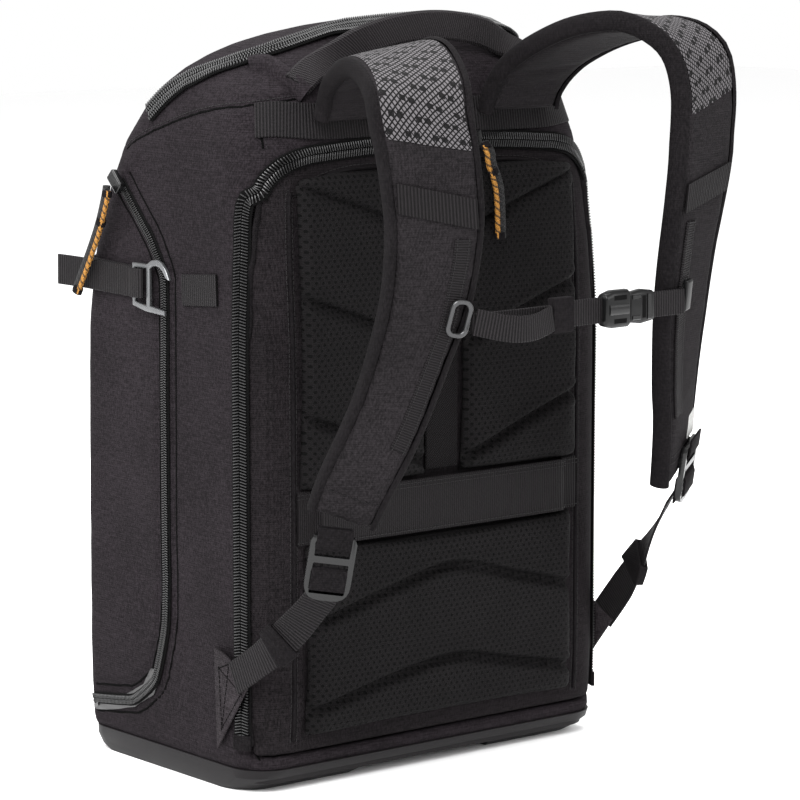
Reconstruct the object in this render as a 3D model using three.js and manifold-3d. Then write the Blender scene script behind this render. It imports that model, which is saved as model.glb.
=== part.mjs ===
// Camera backpack: padded body on a moulded tray, zipped harness door with foam pads, shoulder straps,
// sternum strap, haul handle, side pocket zip and side compression strap. Millimetres, +Z up,
// the harness faces -Y, the zipped side pocket is at -X.
import * as THREE from 'three';
import { mergeVertices } from 'three/addons/utils/BufferGeometryUtils.js';
import Module from 'manifold-3d';

const wasm = await Module();
wasm.setup();

// Driving dimensions
const packWidth = 310;
const packDepth = 204;
const packHeight = 510;
const gap = 0.3;
const shellWall = 8;
const cornerSteps = 7;

// The lid sits a little higher on the right, as in the photograph: rise per unit of width
const lidLean = 0.06;

const trayHeight = 17;
const trayFloor = 7;
const trayWall = 4;
const footHeight = 4.5;
const footSpan = 116;

const doorDepth = 17;
const doorBottom = 26;
const doorCorner = 47;
const doorCornerWidth = 60;
const doorCrown = 8;

const clothRest = 0.5;
const zipWidth = 15;
const zipThick = 1.8;
const sideZipWidth = 11;
const topZipWidth = 17;

const padThick = 9;
const padInset = 34;
const channelHalf = 15;
const channelSeam = 1.2;
const padRise = 39;
const bandTop = 204;
const bandBottom = 167;
const padBottom = 38;
const bandThick = 2;

const strapWidth = 68;
const strapThick = 13;
const strapReach = 137.5;
const railInset = 0.27;
const railWidth = 11;
const railDrop = 130;
const railLength = 130;
const crossBandDrop = 99;
const crossBandWidth = 19;
const trimThick = 1.6;

const yokeWidth = 24;
const yokeInset = 23;
const yokeOverZip = 4.5;
const yokeThick = 1.5;

const handleWidth = 17;
const handleThick = 5;
const handleInset = 52;
const handleDrop = 40;
const handleRise = 36;
const handleSink = 22;

const lockWidth = 30;
const lockLength = 44;
const lockThick = 4;
const lockBar = 4.5;
const webWidth = 23;
const webThick = 1.6;
const wingThick = 1.8;

const sternumHeight = 334;
const sternumWidth = 17;
const ringWidth = 15;
const ringLength = 25;
const ringWire = 2.8;
const sliderThick = 4;
const sliderHalf = 3.4;
const keeperAt = 0.365;
const keeperLength = 17;
const buckleAt = 0.6;
const buckleLength = 44;
const buckleWidth = 25;
const buckleThick = 10;

const sideStrapHeight = 335;
const sideStrapWidth = 21;
const hookLength = 40;
const hookWidth = 29;
const hookWire = 3;
const hookSeat = 2;
const webbingClear = 20;

const pullCord = 2.6;
const pullAside = 33;
const tagRise = 31;

const halfWidth = packWidth / 2;
const halfDepth = packDepth / 2;

const padHalf = halfWidth - padInset;
const yokeHalf = halfWidth - yokeInset;
const handleHalf = halfWidth - handleInset;
const handleStandoff = halfDepth - handleSink;

// Heights down from the lid: the haul handle, the yoke webbing under it, the door's zip under that
const handleBase = packHeight - handleDrop;
const yokeHeight = handleBase - (handleWidth + yokeWidth) / 2;
const doorShoulder = yokeHeight - yokeWidth / 2 - yokeOverZip - doorCrown - doorCorner;
const padTop = doorShoulder + padRise;
const railTop = packHeight - railDrop;
const railBottom = railTop - railLength;
const crossBandTop = packHeight - crossBandDrop;
const crossBandBottom = crossBandTop - crossBandWidth;

// Materials
const finish = (color, roughness, metalness = 0) => new THREE.MeshStandardMaterial({ color, roughness, metalness });
const cloth = finish(0x2c2a2c, 0.92);
const foam = finish(0x1f1f20, 0.95);
const twill = finish(0x232224, 0.85);
const webbing = finish(0x1c1c1d, 0.8);
const moulded = finish(0x2b2a2c, 0.6);
const coil = finish(0x17171a, 0.45);
const plastic = finish(0x141416, 0.4);
const metal = finish(0x8b8d90, 0.35, 0.9);
const orangeCord = finish(0xc8862c, 0.8);
const tagCloth = finish(0xd9d9d6, 0.9);

const group = new THREE.Group();
const v3 = (x, y, z) => new THREE.Vector3(x, y, z);

function addPiece(name, geometry, material) {
  const mesh = new THREE.Mesh(geometry, material);
  mesh.name = name;
  group.add(mesh);
}

// Meshes and solids

function geometryOf(vertices, triangles) {
  const geometry = new THREE.BufferGeometry();
  geometry.setAttribute('position', new THREE.BufferAttribute(new Float32Array(vertices), 3));
  geometry.setIndex(triangles);
  return geometry;
}

function signedVolume(vertices, triangles) {
  const corner = (k) => v3(vertices[3 * k], vertices[3 * k + 1], vertices[3 * k + 2]);
  let sum = 0;
  for (let k = 0; k < triangles.length; k += 3) {
    const [a, b, c] = [corner(triangles[k]), corner(triangles[k + 1]), corner(triangles[k + 2])];
    sum += a.dot(b.cross(c)) / 6;
  }
  return sum;
}

// Joins equal rings of points by a skin; an open row of rings gets a cap at each end
function loft(rings, closed = false) {
  const n = rings[0].length;
  const vertices = rings.flat().flatMap((p) => [p.x, p.y, p.z]);
  const triangles = [];
  const spans = closed ? rings.length : rings.length - 1;
  for (let i = 0; i < spans; i++) {
    const [low, high] = [i * n, ((i + 1) % rings.length) * n];
    for (let j = 0; j < n; j++) {
      const k = (j + 1) % n;
      triangles.push(low + j, low + k, high + k, low + j, high + k, high + j);
    }
  }
  if (!closed) {
    for (const [ring, first, turned] of [[rings[0], 0, true], [rings.at(-1), (rings.length - 1) * n, false]]) {
      const flat = THREE.ShapeUtils.triangulateShape(flatten(ring), []);
      for (const [a, b, c] of flat) {
        triangles.push(first + a, first + (turned ? c : b), first + (turned ? b : c));
      }
    }
  }
  if (signedVolume(vertices, triangles) < 0) {
    triangles.reverse();
  }
  return geometryOf(vertices, triangles);
}

// A ring's points in its own plane, counter-clockwise about its normal
function flatten(ring) {
  const middle = ring.reduce((sum, p) => sum.add(p), v3(0, 0, 0)).divideScalar(ring.length);
  const normal = v3(0, 0, 0);
  ring.forEach((p, k) => {
    const next = ring[(k + 1) % ring.length];
    normal.add(p.clone().sub(middle).cross(next.clone().sub(middle)));
  });
  normal.normalize();
  const helper = Math.abs(normal.z) < 0.9 ? v3(0, 0, 1) : v3(1, 0, 0);
  const u = helper.cross(normal).normalize();
  const w = normal.clone().cross(u);
  return ring.map((p) => new THREE.Vector2(p.clone().sub(middle).dot(u), p.clone().sub(middle).dot(w)));
}

function solid(geometry) {
  const plain = geometry.clone();
  plain.deleteAttribute('normal');
  plain.deleteAttribute('uv');
  const merged = mergeVertices(plain, 1e-3);
  return new wasm.Manifold(new wasm.Mesh({
    numProp: 3,
    vertProperties: new Float32Array(merged.attributes.position.array),
    triVerts: new Uint32Array(merged.index.array),
  }));
}

function meshed(manifold) {
  const mesh = manifold.getMesh();
  return geometryOf(mesh.vertProperties, Array.from(mesh.triVerts));
}

// Outer form of the body: sections as shares of height, half width and half depth
const bodySections = [
  { up: 0.034, side: 0.997, front: 0.985, back: 0.975, frontRound: 0.157, backRound: 0.255, lean: 0 },
  { up: 0.118, side: 1.0, front: 1.0, back: 1.0, frontRound: 0.137, backRound: 0.275, lean: 0 },
  { up: 0.588, side: 1.0, front: 0.99, back: 1.0, frontRound: 0.157, backRound: 0.275, lean: 0 },
  { up: 0.686, side: 0.994, front: 0.941, back: 0.974, frontRound: 0.196, backRound: 0.294, lean: 0 },
  { up: 0.784, side: 0.977, front: 0.824, back: 0.947, frontRound: 0.275, backRound: 0.333, lean: 0 },
  { up: 0.843, side: 0.952, front: 0.725, back: 0.931, frontRound: 0.333, backRound: 0.412, lean: 0 },
  { up: 0.892, side: 0.91, front: 0.608, back: 0.887, frontRound: 0.373, backRound: 0.451, lean: 0.2 },
  { up: 0.922, side: 0.871, front: 0.51, back: 0.833, frontRound: 0.392, backRound: 0.471, lean: 0.45 },
  { up: 0.945, side: 0.813, front: 0.412, back: 0.775, frontRound: 0.392, backRound: 0.471, lean: 0.65 },
  { up: 0.963, side: 0.735, front: 0.304, back: 0.706, frontRound: 0.373, backRound: 0.431, lean: 0.8 },
  { up: 0.977, side: 0.639, front: 0.186, back: 0.637, frontRound: 0.333, backRound: 0.373, lean: 0.9 },
  { up: 0.988, side: 0.516, front: 0.059, back: 0.559, frontRound: 0.275, backRound: 0.294, lean: 1 },
  { up: 0.996, side: 0.361, front: -0.078, back: 0.48, frontRound: 0.196, backRound: 0.196, lean: 1 },
  { up: 1.0, side: 0.194, front: -0.196, back: 0.392, frontRound: 0.088, backRound: 0.088, lean: 1 },
];

// The section at a height share, in mm; above the crown it keeps shrinking
function sectionAt(up) {
  let k = bodySections.findIndex((row) => row.up > up);
  k = k < 0 ? bodySections.length - 1 : Math.max(k, 1);
  const [low, high] = [bodySections[k - 1], bodySections[k]];
  const t = up < low.up ? 0 : (up - low.up) / (high.up - low.up);
  const mix = (key) => low[key] + (high[key] - low[key]) * t;
  return {
    side: mix('side') * halfWidth,
    front: mix('front') * halfDepth,
    back: -mix('back') * halfDepth,
    frontRound: mix('frontRound') * halfDepth,
    backRound: mix('backRound') * halfDepth,
    lean: mix('lean') * lidLean,
  };
}

// Rounded rectangle of a section, taken in by an inset, at height z
function sectionRing(section, z, inset = 0) {
  const lean = section.lean ?? 0;
  const points = [];
  const corners = [
    { sx: 1, y: section.front - inset, round: section.frontRound, turn: 0 },
    { sx: -1, y: section.front - inset, round: section.frontRound, turn: 1 },
    { sx: -1, y: section.back + inset, round: section.backRound, turn: 2 },
    { sx: 1, y: section.back + inset, round: section.backRound, turn: 3 },
  ];
  for (const corner of corners) {
    const round = Math.max(corner.round - inset, 3);
    const cx = corner.sx * (section.side - inset - round);
    const cy = corner.y - Math.sign(corner.turn < 2 ? 1 : -1) * round;
    for (let k = 0; k <= cornerSteps; k++) {
      const angle = (corner.turn + k / cornerSteps) * Math.PI / 2;
      const x = cx + round * Math.cos(angle);
      points.push(v3(x, cy + round * Math.sin(angle), z + lean * x));
    }
  }
  return points;
}

// How far a point lies outside the body's section at its height
function outside(p) {
  let up = p.z / packHeight;
  for (let k = 0; k < 4; k++) {
    up = (p.z - sectionAt(up).lean * p.x) / packHeight;
  }
  const s = sectionAt(up);
  const middle = (s.front + s.back) / 2;
  const round = p.y > middle ? s.frontRound : s.backRound;
  const dx = Math.abs(p.x) - s.side + round;
  const dy = Math.abs(p.y - middle) - (s.front - s.back) / 2 + round;
  return Math.hypot(Math.max(dx, 0), Math.max(dy, 0)) + Math.min(Math.max(dx, dy), 0) - round;
}

function slope(p) {
  const step = 0.4;
  const along = (key) => {
    const [a, b] = [p.clone(), p.clone()];
    a[key] += step;
    b[key] -= step;
    return (outside(a) - outside(b)) / (2 * step);
  };
  return v3(along('x'), along('y'), along('z'));
}

const outward = (p) => slope(p).normalize();

// Moves a point onto the body's surface
function settle(p) {
  const q = p.clone();
  for (let k = 0; k < 12; k++) {
    const g = slope(q);
    q.addScaledVector(g, -outside(q) / Math.max(g.lengthSq(), 0.2));
  }
  return q;
}

function spread(points, steps) {
  return new THREE.CatmullRomCurve3(points, false, 'centripetal').getSpacedPoints(steps);
}

// A band that follows the body's surface along a route
function surfaceBand(route, { width, thick, across = 2, rest = clothRest }) {
  const path = route.map(settle);
  const rings = path.map((p, k) => {
    const ahead = path[Math.min(k + 1, path.length - 1)].clone().sub(path[Math.max(k - 1, 0)]).normalize();
    const side = outward(p).cross(ahead).normalize();
    const [inner, outer] = [[], []];
    for (let j = 0; j <= across; j++) {
      const q = settle(p.clone().addScaledVector(side, width * (j / across - 0.5)));
      const n = outward(q);
      inner.push(q.clone().addScaledVector(n, rest));
      outer.unshift(q.clone().addScaledVector(n, rest + thick));
    }
    return [...inner, ...outer];
  });
  return loft(rings);
}

// A straight-sided sweep: each station has a place, a direction across and a direction out
function sweep(stations, outline, closed = false) {
  const rings = stations.map((s) => outline(s).map(([a, o]) =>
    s.place.clone().addScaledVector(s.across, a).addScaledVector(s.out, o)));
  return loft(rings, closed);
}

function slab(width, thick, edge = 0) {
  const [w, t, e] = [width / 2, thick / 2, Math.min(edge, thick / 2.2)];
  if (e === 0) {
    return [[-w, -t], [w, -t], [w, t], [-w, t]];
  }
  return [[-w + e, -t], [w - e, -t], [w, -t + e], [w, t - e], [w - e, t], [-w + e, t], [-w, t - e], [-w, -t + e]];
}

// A flat shape given as (across, along), with a thickness, set by three directions at a place
function plateAt(shape, thick, place, across, along, bevel = 0) {
  const geometry = new THREE.ExtrudeGeometry(shape, {
    depth: thick - 2 * bevel, bevelEnabled: bevel > 0, bevelThickness: bevel, bevelSize: bevel,
    bevelOffset: -bevel, bevelSegments: 1, curveSegments: 5,
  });
  geometry.translate(0, 0, bevel - thick / 2);
  const u = across.clone().normalize();
  const n = u.clone().cross(along).normalize();
  geometry.applyMatrix4(new THREE.Matrix4().makeBasis(u, n.clone().cross(u), n).setPosition(place));
  return geometry;
}

function roundedShape(halfX, low, high, round, into = new THREE.Shape()) {
  into.moveTo(halfX, low + round);
  into.lineTo(halfX, high - round);
  into.absarc(halfX - round, high - round, round, 0, Math.PI / 2);
  into.absarc(-halfX + round, high - round, round, Math.PI / 2, Math.PI);
  into.absarc(-halfX + round, low + round, round, Math.PI, Math.PI * 1.5);
  into.absarc(halfX - round, low + round, round, Math.PI * 1.5, Math.PI * 2);
  return into;
}

// A ribbon profile: the outline of a line of points given a thickness
function stripShape(points, thick) {
  const side = points.map((p, k) => {
    const [a, b] = [points[Math.max(k - 1, 0)], points[Math.min(k + 1, points.length - 1)]];
    const d = new THREE.Vector2(b[0] - a[0], b[1] - a[1]).normalize().multiplyScalar(thick / 2);
    return [[p[0] - d.y, p[1] + d.x], [p[0] + d.y, p[1] - d.x]];
  });
  const outline = [...side.map((s) => s[0]), ...side.map((s) => s[1]).reverse()];
  return new THREE.Shape(outline.map(([x, y]) => new THREE.Vector2(x, y)));
}

// Base tray: a moulded shell with two rails to stand on
const traySections = [
  { up: 0, side: 0.977, front: 0.892, back: 0.775, round: 0.2 },
  { up: 0.24, side: 0.99, front: 0.941, back: 0.843, round: 0.2 },
  { up: 0.65, side: 1.0, front: 0.975, back: 0.941, round: 0.2 },
  { up: 1, side: 1.0, front: 0.99, back: 0.98, round: 0.22 },
];

function traySection(row) {
  return {
    side: row.side * halfWidth,
    front: row.front * halfDepth,
    back: -row.back * halfDepth,
    frontRound: row.round * halfDepth,
    backRound: row.round * halfDepth * 1.2,
  };
}

const rimSection = traySection(traySections.at(-1));

function makeTray() {
  const rings = traySections.map((row) => sectionRing(traySection(row), row.up * trayHeight));
  rings.push(sectionRing(rimSection, trayHeight, trayWall));
  rings.push(sectionRing(rimSection, trayFloor, trayWall + 2));
  const half = footSpan / 2;
  const groove = new THREE.Shape([[-half - 4, -1], [half + 4, -1], [half, footHeight], [-half, footHeight]]
    .map(([x, y]) => new THREE.Vector2(x, y)));
  const along = v3(0, 0, 1);
  const cut = plateAt(groove, packDepth * 2, v3(0, 0, 0), v3(1, 0, 0), along);
  addPiece('base_tray', meshed(solid(loft(rings)).subtract(solid(cut))), moulded);
}

// Body shell and harness door, cut from one hollow form
function bodyForm() {
  const rings = [
    sectionRing(rimSection, trayFloor + gap, trayWall + 2 + gap),
    sectionRing(rimSection, trayHeight + gap, trayWall + gap),
    ...bodySections.map((row) => {
      const z = Math.max(row.up * packHeight, trayHeight + gap);
      return sectionRing(sectionAt(row.up), z);
    }),
  ];
  return loft(rings);
}

function hollowForm() {
  const low = trayFloor + gap + shellWall;
  const stretch = (packHeight - shellWall - low) / packHeight;
  const rings = bodySections.slice(0, -1).map((row, k) => {
    const z = k === 0 ? low : low + row.up * packHeight * stretch;
    return sectionRing(sectionAt(row.up), z, k === 0 ? shellWall + trayWall : shellWall);
  });
  return loft(rings);
}

function doorOutline(grow = 0) {
  const half = halfWidth + 1 + grow;
  const inner = half - doorCornerWidth;
  const [low, shoulder, top] = [doorBottom - grow, doorShoulder, doorShoulder + doorCorner + grow];
  const shape = new THREE.Shape();
  shape.moveTo(-half, low);
  shape.lineTo(half, low);
  shape.lineTo(half, shoulder);
  shape.bezierCurveTo(half, shoulder + 0.6 * doorCorner, inner + 0.45 * doorCornerWidth, top, inner, top);
  shape.quadraticCurveTo(0, top + doorCrown, -inner, top);
  shape.bezierCurveTo(-inner - 0.45 * doorCornerWidth, top, -half, shoulder + 0.6 * doorCorner, -half, shoulder);
  return shape;
}

function doorBlock(grow) {
  const geometry = new THREE.ExtrudeGeometry(doorOutline(grow), {
    depth: packDepth, bevelEnabled: false, curveSegments: 10,
  });
  geometry.rotateX(Math.PI / 2);
  geometry.translate(0, -halfDepth + doorDepth + grow, 0);
  return solid(geometry);
}

function makeBody() {
  const shell = solid(bodyForm()).subtract(solid(hollowForm()));
  addPiece('body_shell', meshed(shell.subtract(doorBlock(gap))), cloth);
  addPiece('harness_door', meshed(shell.intersect(doorBlock(0))), cloth);
}

// Zips: closed coil bands on the body's surface
function doorZipRoute() {
  const y = -halfDepth + doorDepth;
  const low = doorBottom + zipWidth / 2;
  const edge = doorOutline().getPoints(12).filter((p) => p.y > doorShoulder - 1);
  const arch = edge.map((p) => v3(p.x, Math.abs(p.x) > halfWidth - 6 ? y : -halfDepth + 8, p.y));
  const bends = bodySections.map((row) => row.up * packHeight).filter((z) => z > low + 5 && z < doorShoulder - 8);
  const rises = [low, ...bends, 0.35 * doorShoulder, 0.6 * doorShoulder, doorShoulder - 14].sort((a, b) => a - b);
  const right = rises.map((z) => v3(halfWidth, y, z));
  const left = rises.map((z) => v3(-halfWidth, y, z)).reverse();
  return [...right, ...arch.slice(1, -1), ...left].map(settle);
}

// Side pocket zip: depth as a share of half depth, height as a share of the pack's height
const sideZipRoute = [
  { front: 0.52, up: 0.785 }, { front: 0.26, up: 0.735 }, { front: 0.06, up: 0.694 }, { front: -0.01, up: 0.665 },
  { front: -0.02, up: 0.5 }, { front: -0.02, up: 0.3 }, { front: -0.02, up: 0.225 }, { front: 0.03, up: 0.17 },
  { front: 0.12, up: 0.125 }, { front: 0.24, up: 0.098 }, { front: 0.45, up: 0.083 }, { front: 0.86, up: 0.071 },
];

// Lid zip in plan: shares of half width and half depth
const lidZipRoute = [
  { side: -0.91, front: 0.3, up: 0.875 }, { side: -0.88, front: 0.14, up: 0.905 },
  { side: -0.83, front: -0.12, up: 0.935 }, { side: -0.74, front: -0.37, up: 0.955 },
  { side: -0.58, front: -0.49, up: 0.965 }, { side: -0.3, front: -0.5, up: 0.985 },
  { side: 0, front: -0.49, up: 0.99 }, { side: 0.3, front: -0.5, up: 0.99 },
  { side: 0.58, front: -0.49, up: 0.98 }, { side: 0.74, front: -0.37, up: 0.97 },
  { side: 0.83, front: -0.12, up: 0.955 }, { side: 0.88, front: 0.14, up: 0.93 },
  { side: 0.91, front: 0.3, up: 0.9 },
];

const rowPoint = (row, side) => v3((row.side ?? side) * halfWidth, row.front * halfDepth, row.up * packHeight);

function makeZips() {
  addPiece('main_zip', surfaceBand(doorZipRoute(), { width: zipWidth, thick: zipThick, rest: clothRest + 0.2 }), coil);
  const sideRoute = spread(sideZipRoute.map((row) => rowPoint(row, -1)), 34);
  addPiece('side_zip', surfaceBand(sideRoute, { width: sideZipWidth, thick: zipThick }), coil);
  const lidRoute = spread(lidZipRoute.map((row) => rowPoint(row)), 44);
  addPiece('lid_zip', surfaceBand(lidRoute, { width: topZipWidth, thick: zipThick, rest: clothRest + 0.3 }), coil);
}

// Harness pads: each row runs across the pad, with its heights at the outer and inner edge and its rise
const edgeRise = 0.35;
const grooveRise = 0.5;
const upperPadRows = [
  { outer: 0, inner: 0, rise: edgeRise }, { outer: 0.015, inner: 0.01, rise: 1 },
  { outer: 0.2, inner: 0.02, rise: 1 }, { outer: 0.223, inner: 0.043, rise: grooveRise },
  { outer: 0.246, inner: 0.066, rise: 1 }, { outer: 0.4, inner: 0.22, rise: 1 }, { outer: 0.56, inner: 0.38, rise: 1 },
  { outer: 0.583, inner: 0.403, rise: grooveRise }, { outer: 0.606, inner: 0.426, rise: 1 },
  { outer: 0.74, inner: 0.58, rise: 1 }, { outer: 0.885, inner: 0.74, rise: 1 }, { outer: 0.905, inner: 0.763, rise: grooveRise },
  { outer: 0.92, inner: 0.786, rise: 1 }, { outer: 0.945, inner: 0.985, rise: 1, bend: 0.4 },
  { outer: 0.96, inner: 1, rise: edgeRise, bend: 0.4 },
];
const lowerPadRows = [
  { outer: 0, inner: 0, rise: edgeRise }, { outer: 0.03, inner: 0.03, rise: 1 },
  { outer: 0.09, inner: 0.28, rise: 1 }, { outer: 0.125, inner: 0.315, rise: grooveRise },
  { outer: 0.16, inner: 0.35, rise: 1 }, { outer: 0.54, inner: 0.77, rise: 1 },
  { outer: 0.575, inner: 0.805, rise: grooveRise }, { outer: 0.61, inner: 0.84, rise: 1 },
  { outer: 0.97, inner: 0.97, rise: 1 }, { outer: 1, inner: 1, rise: edgeRise },
];
const padColumns = [0, 0.05, 0.14, 0.4, 0.7, 0.94, 1];
const padColumnRise = [0.35, 0.9, 1, 1, 1, 0.9, 0.35];

// Grid of points between two edges (x0 outer, x1 inner), from low to high, on the harness face
function padGrid(rows, columns, rises, x0, x1, low, high, thick) {
  const grid = { inner: [], outer: [] };
  for (const row of rows) {
    const back = [];
    const face = [];
    columns.forEach((u, k) => {
      const t = Math.pow(u, row.bend ?? 1);
      const z = low + (high - low) * (row.outer + (row.inner - row.outer) * t);
      const rest = settle(v3(x0 + (x1 - x0) * u, -halfDepth, z));
      const n = outward(rest);
      back.push(rest.clone().addScaledVector(n, clothRest));
      face.push(rest.clone().addScaledVector(n, clothRest + thick * Math.min(row.rise, rises[k])));
    });
    grid.inner.push(back);
    grid.outer.push(face);
  }
  return grid;
}

function padSolid(grid) {
  const rings = grid.inner.map((back, k) => [...back, ...grid.outer[k].slice().reverse()]);
  return loft(rings);
}

function makePads() {
  for (const [name, side] of [['left', -1], ['right', 1]]) {
    const grid = padGrid(upperPadRows, padColumns, padColumnRise, side * padHalf, side * channelHalf,
      bandTop + gap, padTop, padThick);
    addPiece(`back_pad_${name}`, padSolid(grid), foam);
  }
  // The lower pad is two mirrored halves in one grid
  const columns = [...padColumns.slice(0, -2), 1];
  const mirrored = [...columns, ...columns.slice(0, -1).reverse()];
  const rises = [...padColumnRise.slice(0, -2), 1, ...padColumnRise.slice(0, -2).reverse()];
  const grid = { inner: [], outer: [] };
  for (const row of lowerPadRows) {
    const [back, face] = [[], []];
    mirrored.forEach((u, k) => {
      const side = k < columns.length ? -1 : 1;
      const z = padBottom + (bandBottom - gap - padBottom) * (row.outer + (row.inner - row.outer) * u);
      const rest = v3(side * padHalf * 0.97 * (1 - u), -halfDepth - clothRest, z);
      back.push(rest);
      face.push(rest.clone().add(v3(0, -padThick * Math.min(row.rise, rises[k]), 0)));
    });
    grid.inner.push(back);
    grid.outer.push(face);
  }
  addPiece('back_pad_lower', padSolid(grid), foam);
  const channelTop = padTop - 6;
  const channel = [bandTop + 4, 280, 350, channelTop].map((z) => v3(0, -halfDepth, z));
  addPiece('centre_channel', surfaceBand(spread(channel, 8), {
    width: 2 * (channelHalf - channelSeam), thick: 2.4, across: 1,
  }), twill);
}

// Trolley band: a wide webbing sewn down at both ends, free between them
function makeLuggageBand() {
  const [low, high] = [bandBottom + gap, bandTop - gap];
  const end = padHalf + 1;
  const rise = padThick * 0.75;
  const profile = [[-end, 0], [-end + 12, 0], [-end + 20, rise], [0, rise + 1], [end - 20, rise], [end - 12, 0], [end, 0]];
  const shape = stripShape(profile.map(([x, o]) => [x, -o]), bandThick);
  const place = v3(0, -halfDepth - clothRest - bandThick / 2, (low + high) / 2);
  addPiece('luggage_band', plateAt(shape, high - low, place, v3(1, 0, 0), v3(0, 1, 0)), webbing);
}

// Webbing across the top of the harness, between the lid and the door zip
function makeYoke() {
  const stops = [-1, -0.86, -0.7, -0.4, 0, 0.4, 0.7, 0.86, 1];
  const route = stops.map((s) => {
    const corner = Math.max(Math.abs(s) - 0.7, 0) / 0.3;
    return v3(s * yokeHalf, -halfDepth * (0.92 - 0.35 * corner), yokeHeight - 5 * corner);
  });
  addPiece('top_yoke_webbing', surfaceBand(spread(route, 30), {
    width: yokeWidth, thick: yokeThick, across: 2, rest: clothRest + 0.5,
  }), webbing);
}

// Moves a place on the handle outward until its whole section clears the body
function liftClear(place, across, out) {
  for (let k = 0; k < 8; k++) {
    const depths = [-0.5, 0, 0.5].map((s) => outside(place.clone().addScaledVector(across, s * handleWidth)
      .addScaledVector(out, -handleThick / 2)));
    const short = clothRest + 0.3 - Math.min(...depths);
    if (short > 0) {
      place.addScaledVector(out, short);
    }
  }
}

// Haul handle: an upright webbing loop standing off the back of the lid
function makeHandle() {
  const steps = 18;
  const stations = [];
  for (let k = 0; k <= steps; k++) {
    const t = 2 * k / steps - 1;
    const arch = Math.pow(1 - t * t, 0.8);
    const x = t * handleHalf;
    const place = v3(x, -handleStandoff - 4 * arch + 3 * Math.abs(t), handleBase + handleRise * arch + 0.04 * x);
    const flat = THREE.MathUtils.smoothstep(Math.abs(t), 0.55, 0.9);
    const out = v3(0, -1, 0).lerp(outward(place), flat).normalize();
    const across = v3(0, 0, 1).addScaledVector(out, -out.z).normalize();
    if (flat > 0) {
      place.lerp(settle(place).addScaledVector(out, clothRest + handleThick / 2), flat);
    }
    liftClear(place, across, out);
    stations.push({ place, across, out });
  }
  addPiece('haul_handle', sweep(stations, () => slab(handleWidth, handleThick, 1.5)), webbing);
}

// Shoulder straps: outer face sections. across is a share of half width, out of the reach behind the
// harness, up of the height, wide of the strap's width; turn and roll are degrees
const strapFall = [
  { across: 0.777, out: 0.991, up: 0.863, turn: 16.6, roll: 0, wide: 0.94 },
  { across: 0.758, out: 1.0, up: 0.82, turn: 16.5, roll: 0, wide: 0.93 },
  { across: 0.735, out: 0.993, up: 0.765, turn: 18, roll: 0, wide: 0.906 },
  { across: 0.727, out: 0.957, up: 0.706, turn: 19, roll: 0, wide: 0.865 },
  { across: 0.735, out: 0.916, up: 0.655, turn: 19, roll: 0, wide: 0.824 },
  { across: 0.773, out: 0.845, up: 0.588, turn: 20, roll: 0, wide: 0.745 },
  { across: 0.816, out: 0.778, up: 0.527, turn: 24, roll: 0, wide: 0.71 },
  { across: 0.873, out: 0.705, up: 0.471, turn: 29, roll: 0, wide: 0.69 },
  { across: 0.916, out: 0.633, up: 0.425, turn: 32, roll: 0, wide: 0.67 },
  { across: 0.942, out: 0.582, up: 0.388, turn: 33, roll: 0, wide: 0.63 },
];
const strapRiseLeft = [
  { across: 0.458, out: -0.055, up: 0.88, turn: 0, roll: 0, wide: 0.91 },
  { across: 0.458, out: -0.02, up: 0.904, turn: 0, roll: 3, wide: 0.91 },
  { across: 0.49, out: 0.085, up: 0.937, turn: 0, roll: 6, wide: 0.94 },
  { across: 0.542, out: 0.26, up: 0.961, turn: 2, roll: 9, wide: 0.97 },
  { across: 0.606, out: 0.444, up: 0.973, turn: 4, roll: 10, wide: 0.985 },
  { across: 0.665, out: 0.625, up: 0.971, turn: 7, roll: 10, wide: 1.0 },
  { across: 0.716, out: 0.785, up: 0.953, turn: 10, roll: 8, wide: 0.985 },
  { across: 0.761, out: 0.902, up: 0.928, turn: 13, roll: 5, wide: 0.97 },
  { across: 0.784, out: 0.96, up: 0.898, turn: 16, roll: 2, wide: 0.956 },
];
const strapRiseRight = [
  { across: 0.458, out: -0.055, up: 0.882, turn: 0, roll: 0, wide: 0.91 },
  { across: 0.458, out: -0.02, up: 0.91, turn: 0, roll: 0, wide: 0.91 },
  { across: 0.484, out: 0.092, up: 0.949, turn: 0, roll: 0, wide: 0.94 },
  { across: 0.529, out: 0.291, up: 0.982, turn: 1, roll: 2, wide: 0.97 },
  { across: 0.581, out: 0.495, up: 1.002, turn: 4, roll: 4, wide: 0.985 },
  { across: 0.645, out: 0.691, up: 1.008, turn: 7, roll: 5, wide: 1.0 },
  { across: 0.716, out: 0.851, up: 0.992, turn: 10, roll: 5, wide: 0.985 },
  { across: 0.768, out: 0.945, up: 0.961, turn: 13, roll: 3, wide: 0.97 },
  { across: 0.79, out: 0.978, up: 0.916, turn: 16, roll: 1, wide: 0.956 },
];

// Stations along a strap: place on the outer face, direction along, across and out, and width
function strapStations(side, steps = 30) {
  const rows = [...(side < 0 ? strapRiseLeft : strapRiseRight), ...strapFall];
  const place = (row) => v3(side * row.across * halfWidth, -halfDepth - row.out * strapReach, row.up * packHeight);
  const curve = new THREE.CatmullRomCurve3(rows.map(place), false, 'centripetal');
  const stations = [];
  for (let k = 0; k <= steps; k++) {
    const t = k / steps;
    const low = Math.min(Math.floor(t * (rows.length - 1)), rows.length - 2);
    const f = t * (rows.length - 1) - low;
    const mix = (key) => rows[low][key] + (rows[low + 1][key] - rows[low][key]) * f;
    const along = curve.getTangent(t);
    const [turn, roll] = [mix('turn'), mix('roll')].map(THREE.MathUtils.degToRad);
    const across = v3(Math.cos(turn) * Math.cos(roll), side * Math.sin(turn), -side * Math.sin(roll));
    across.addScaledVector(along, -across.dot(along)).normalize();
    const out = along.clone().cross(across);
    stations.push({ place: curve.getPoint(t), along, across, out, width: mix('wide') * strapWidth });
  }
  return stations;
}

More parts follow.
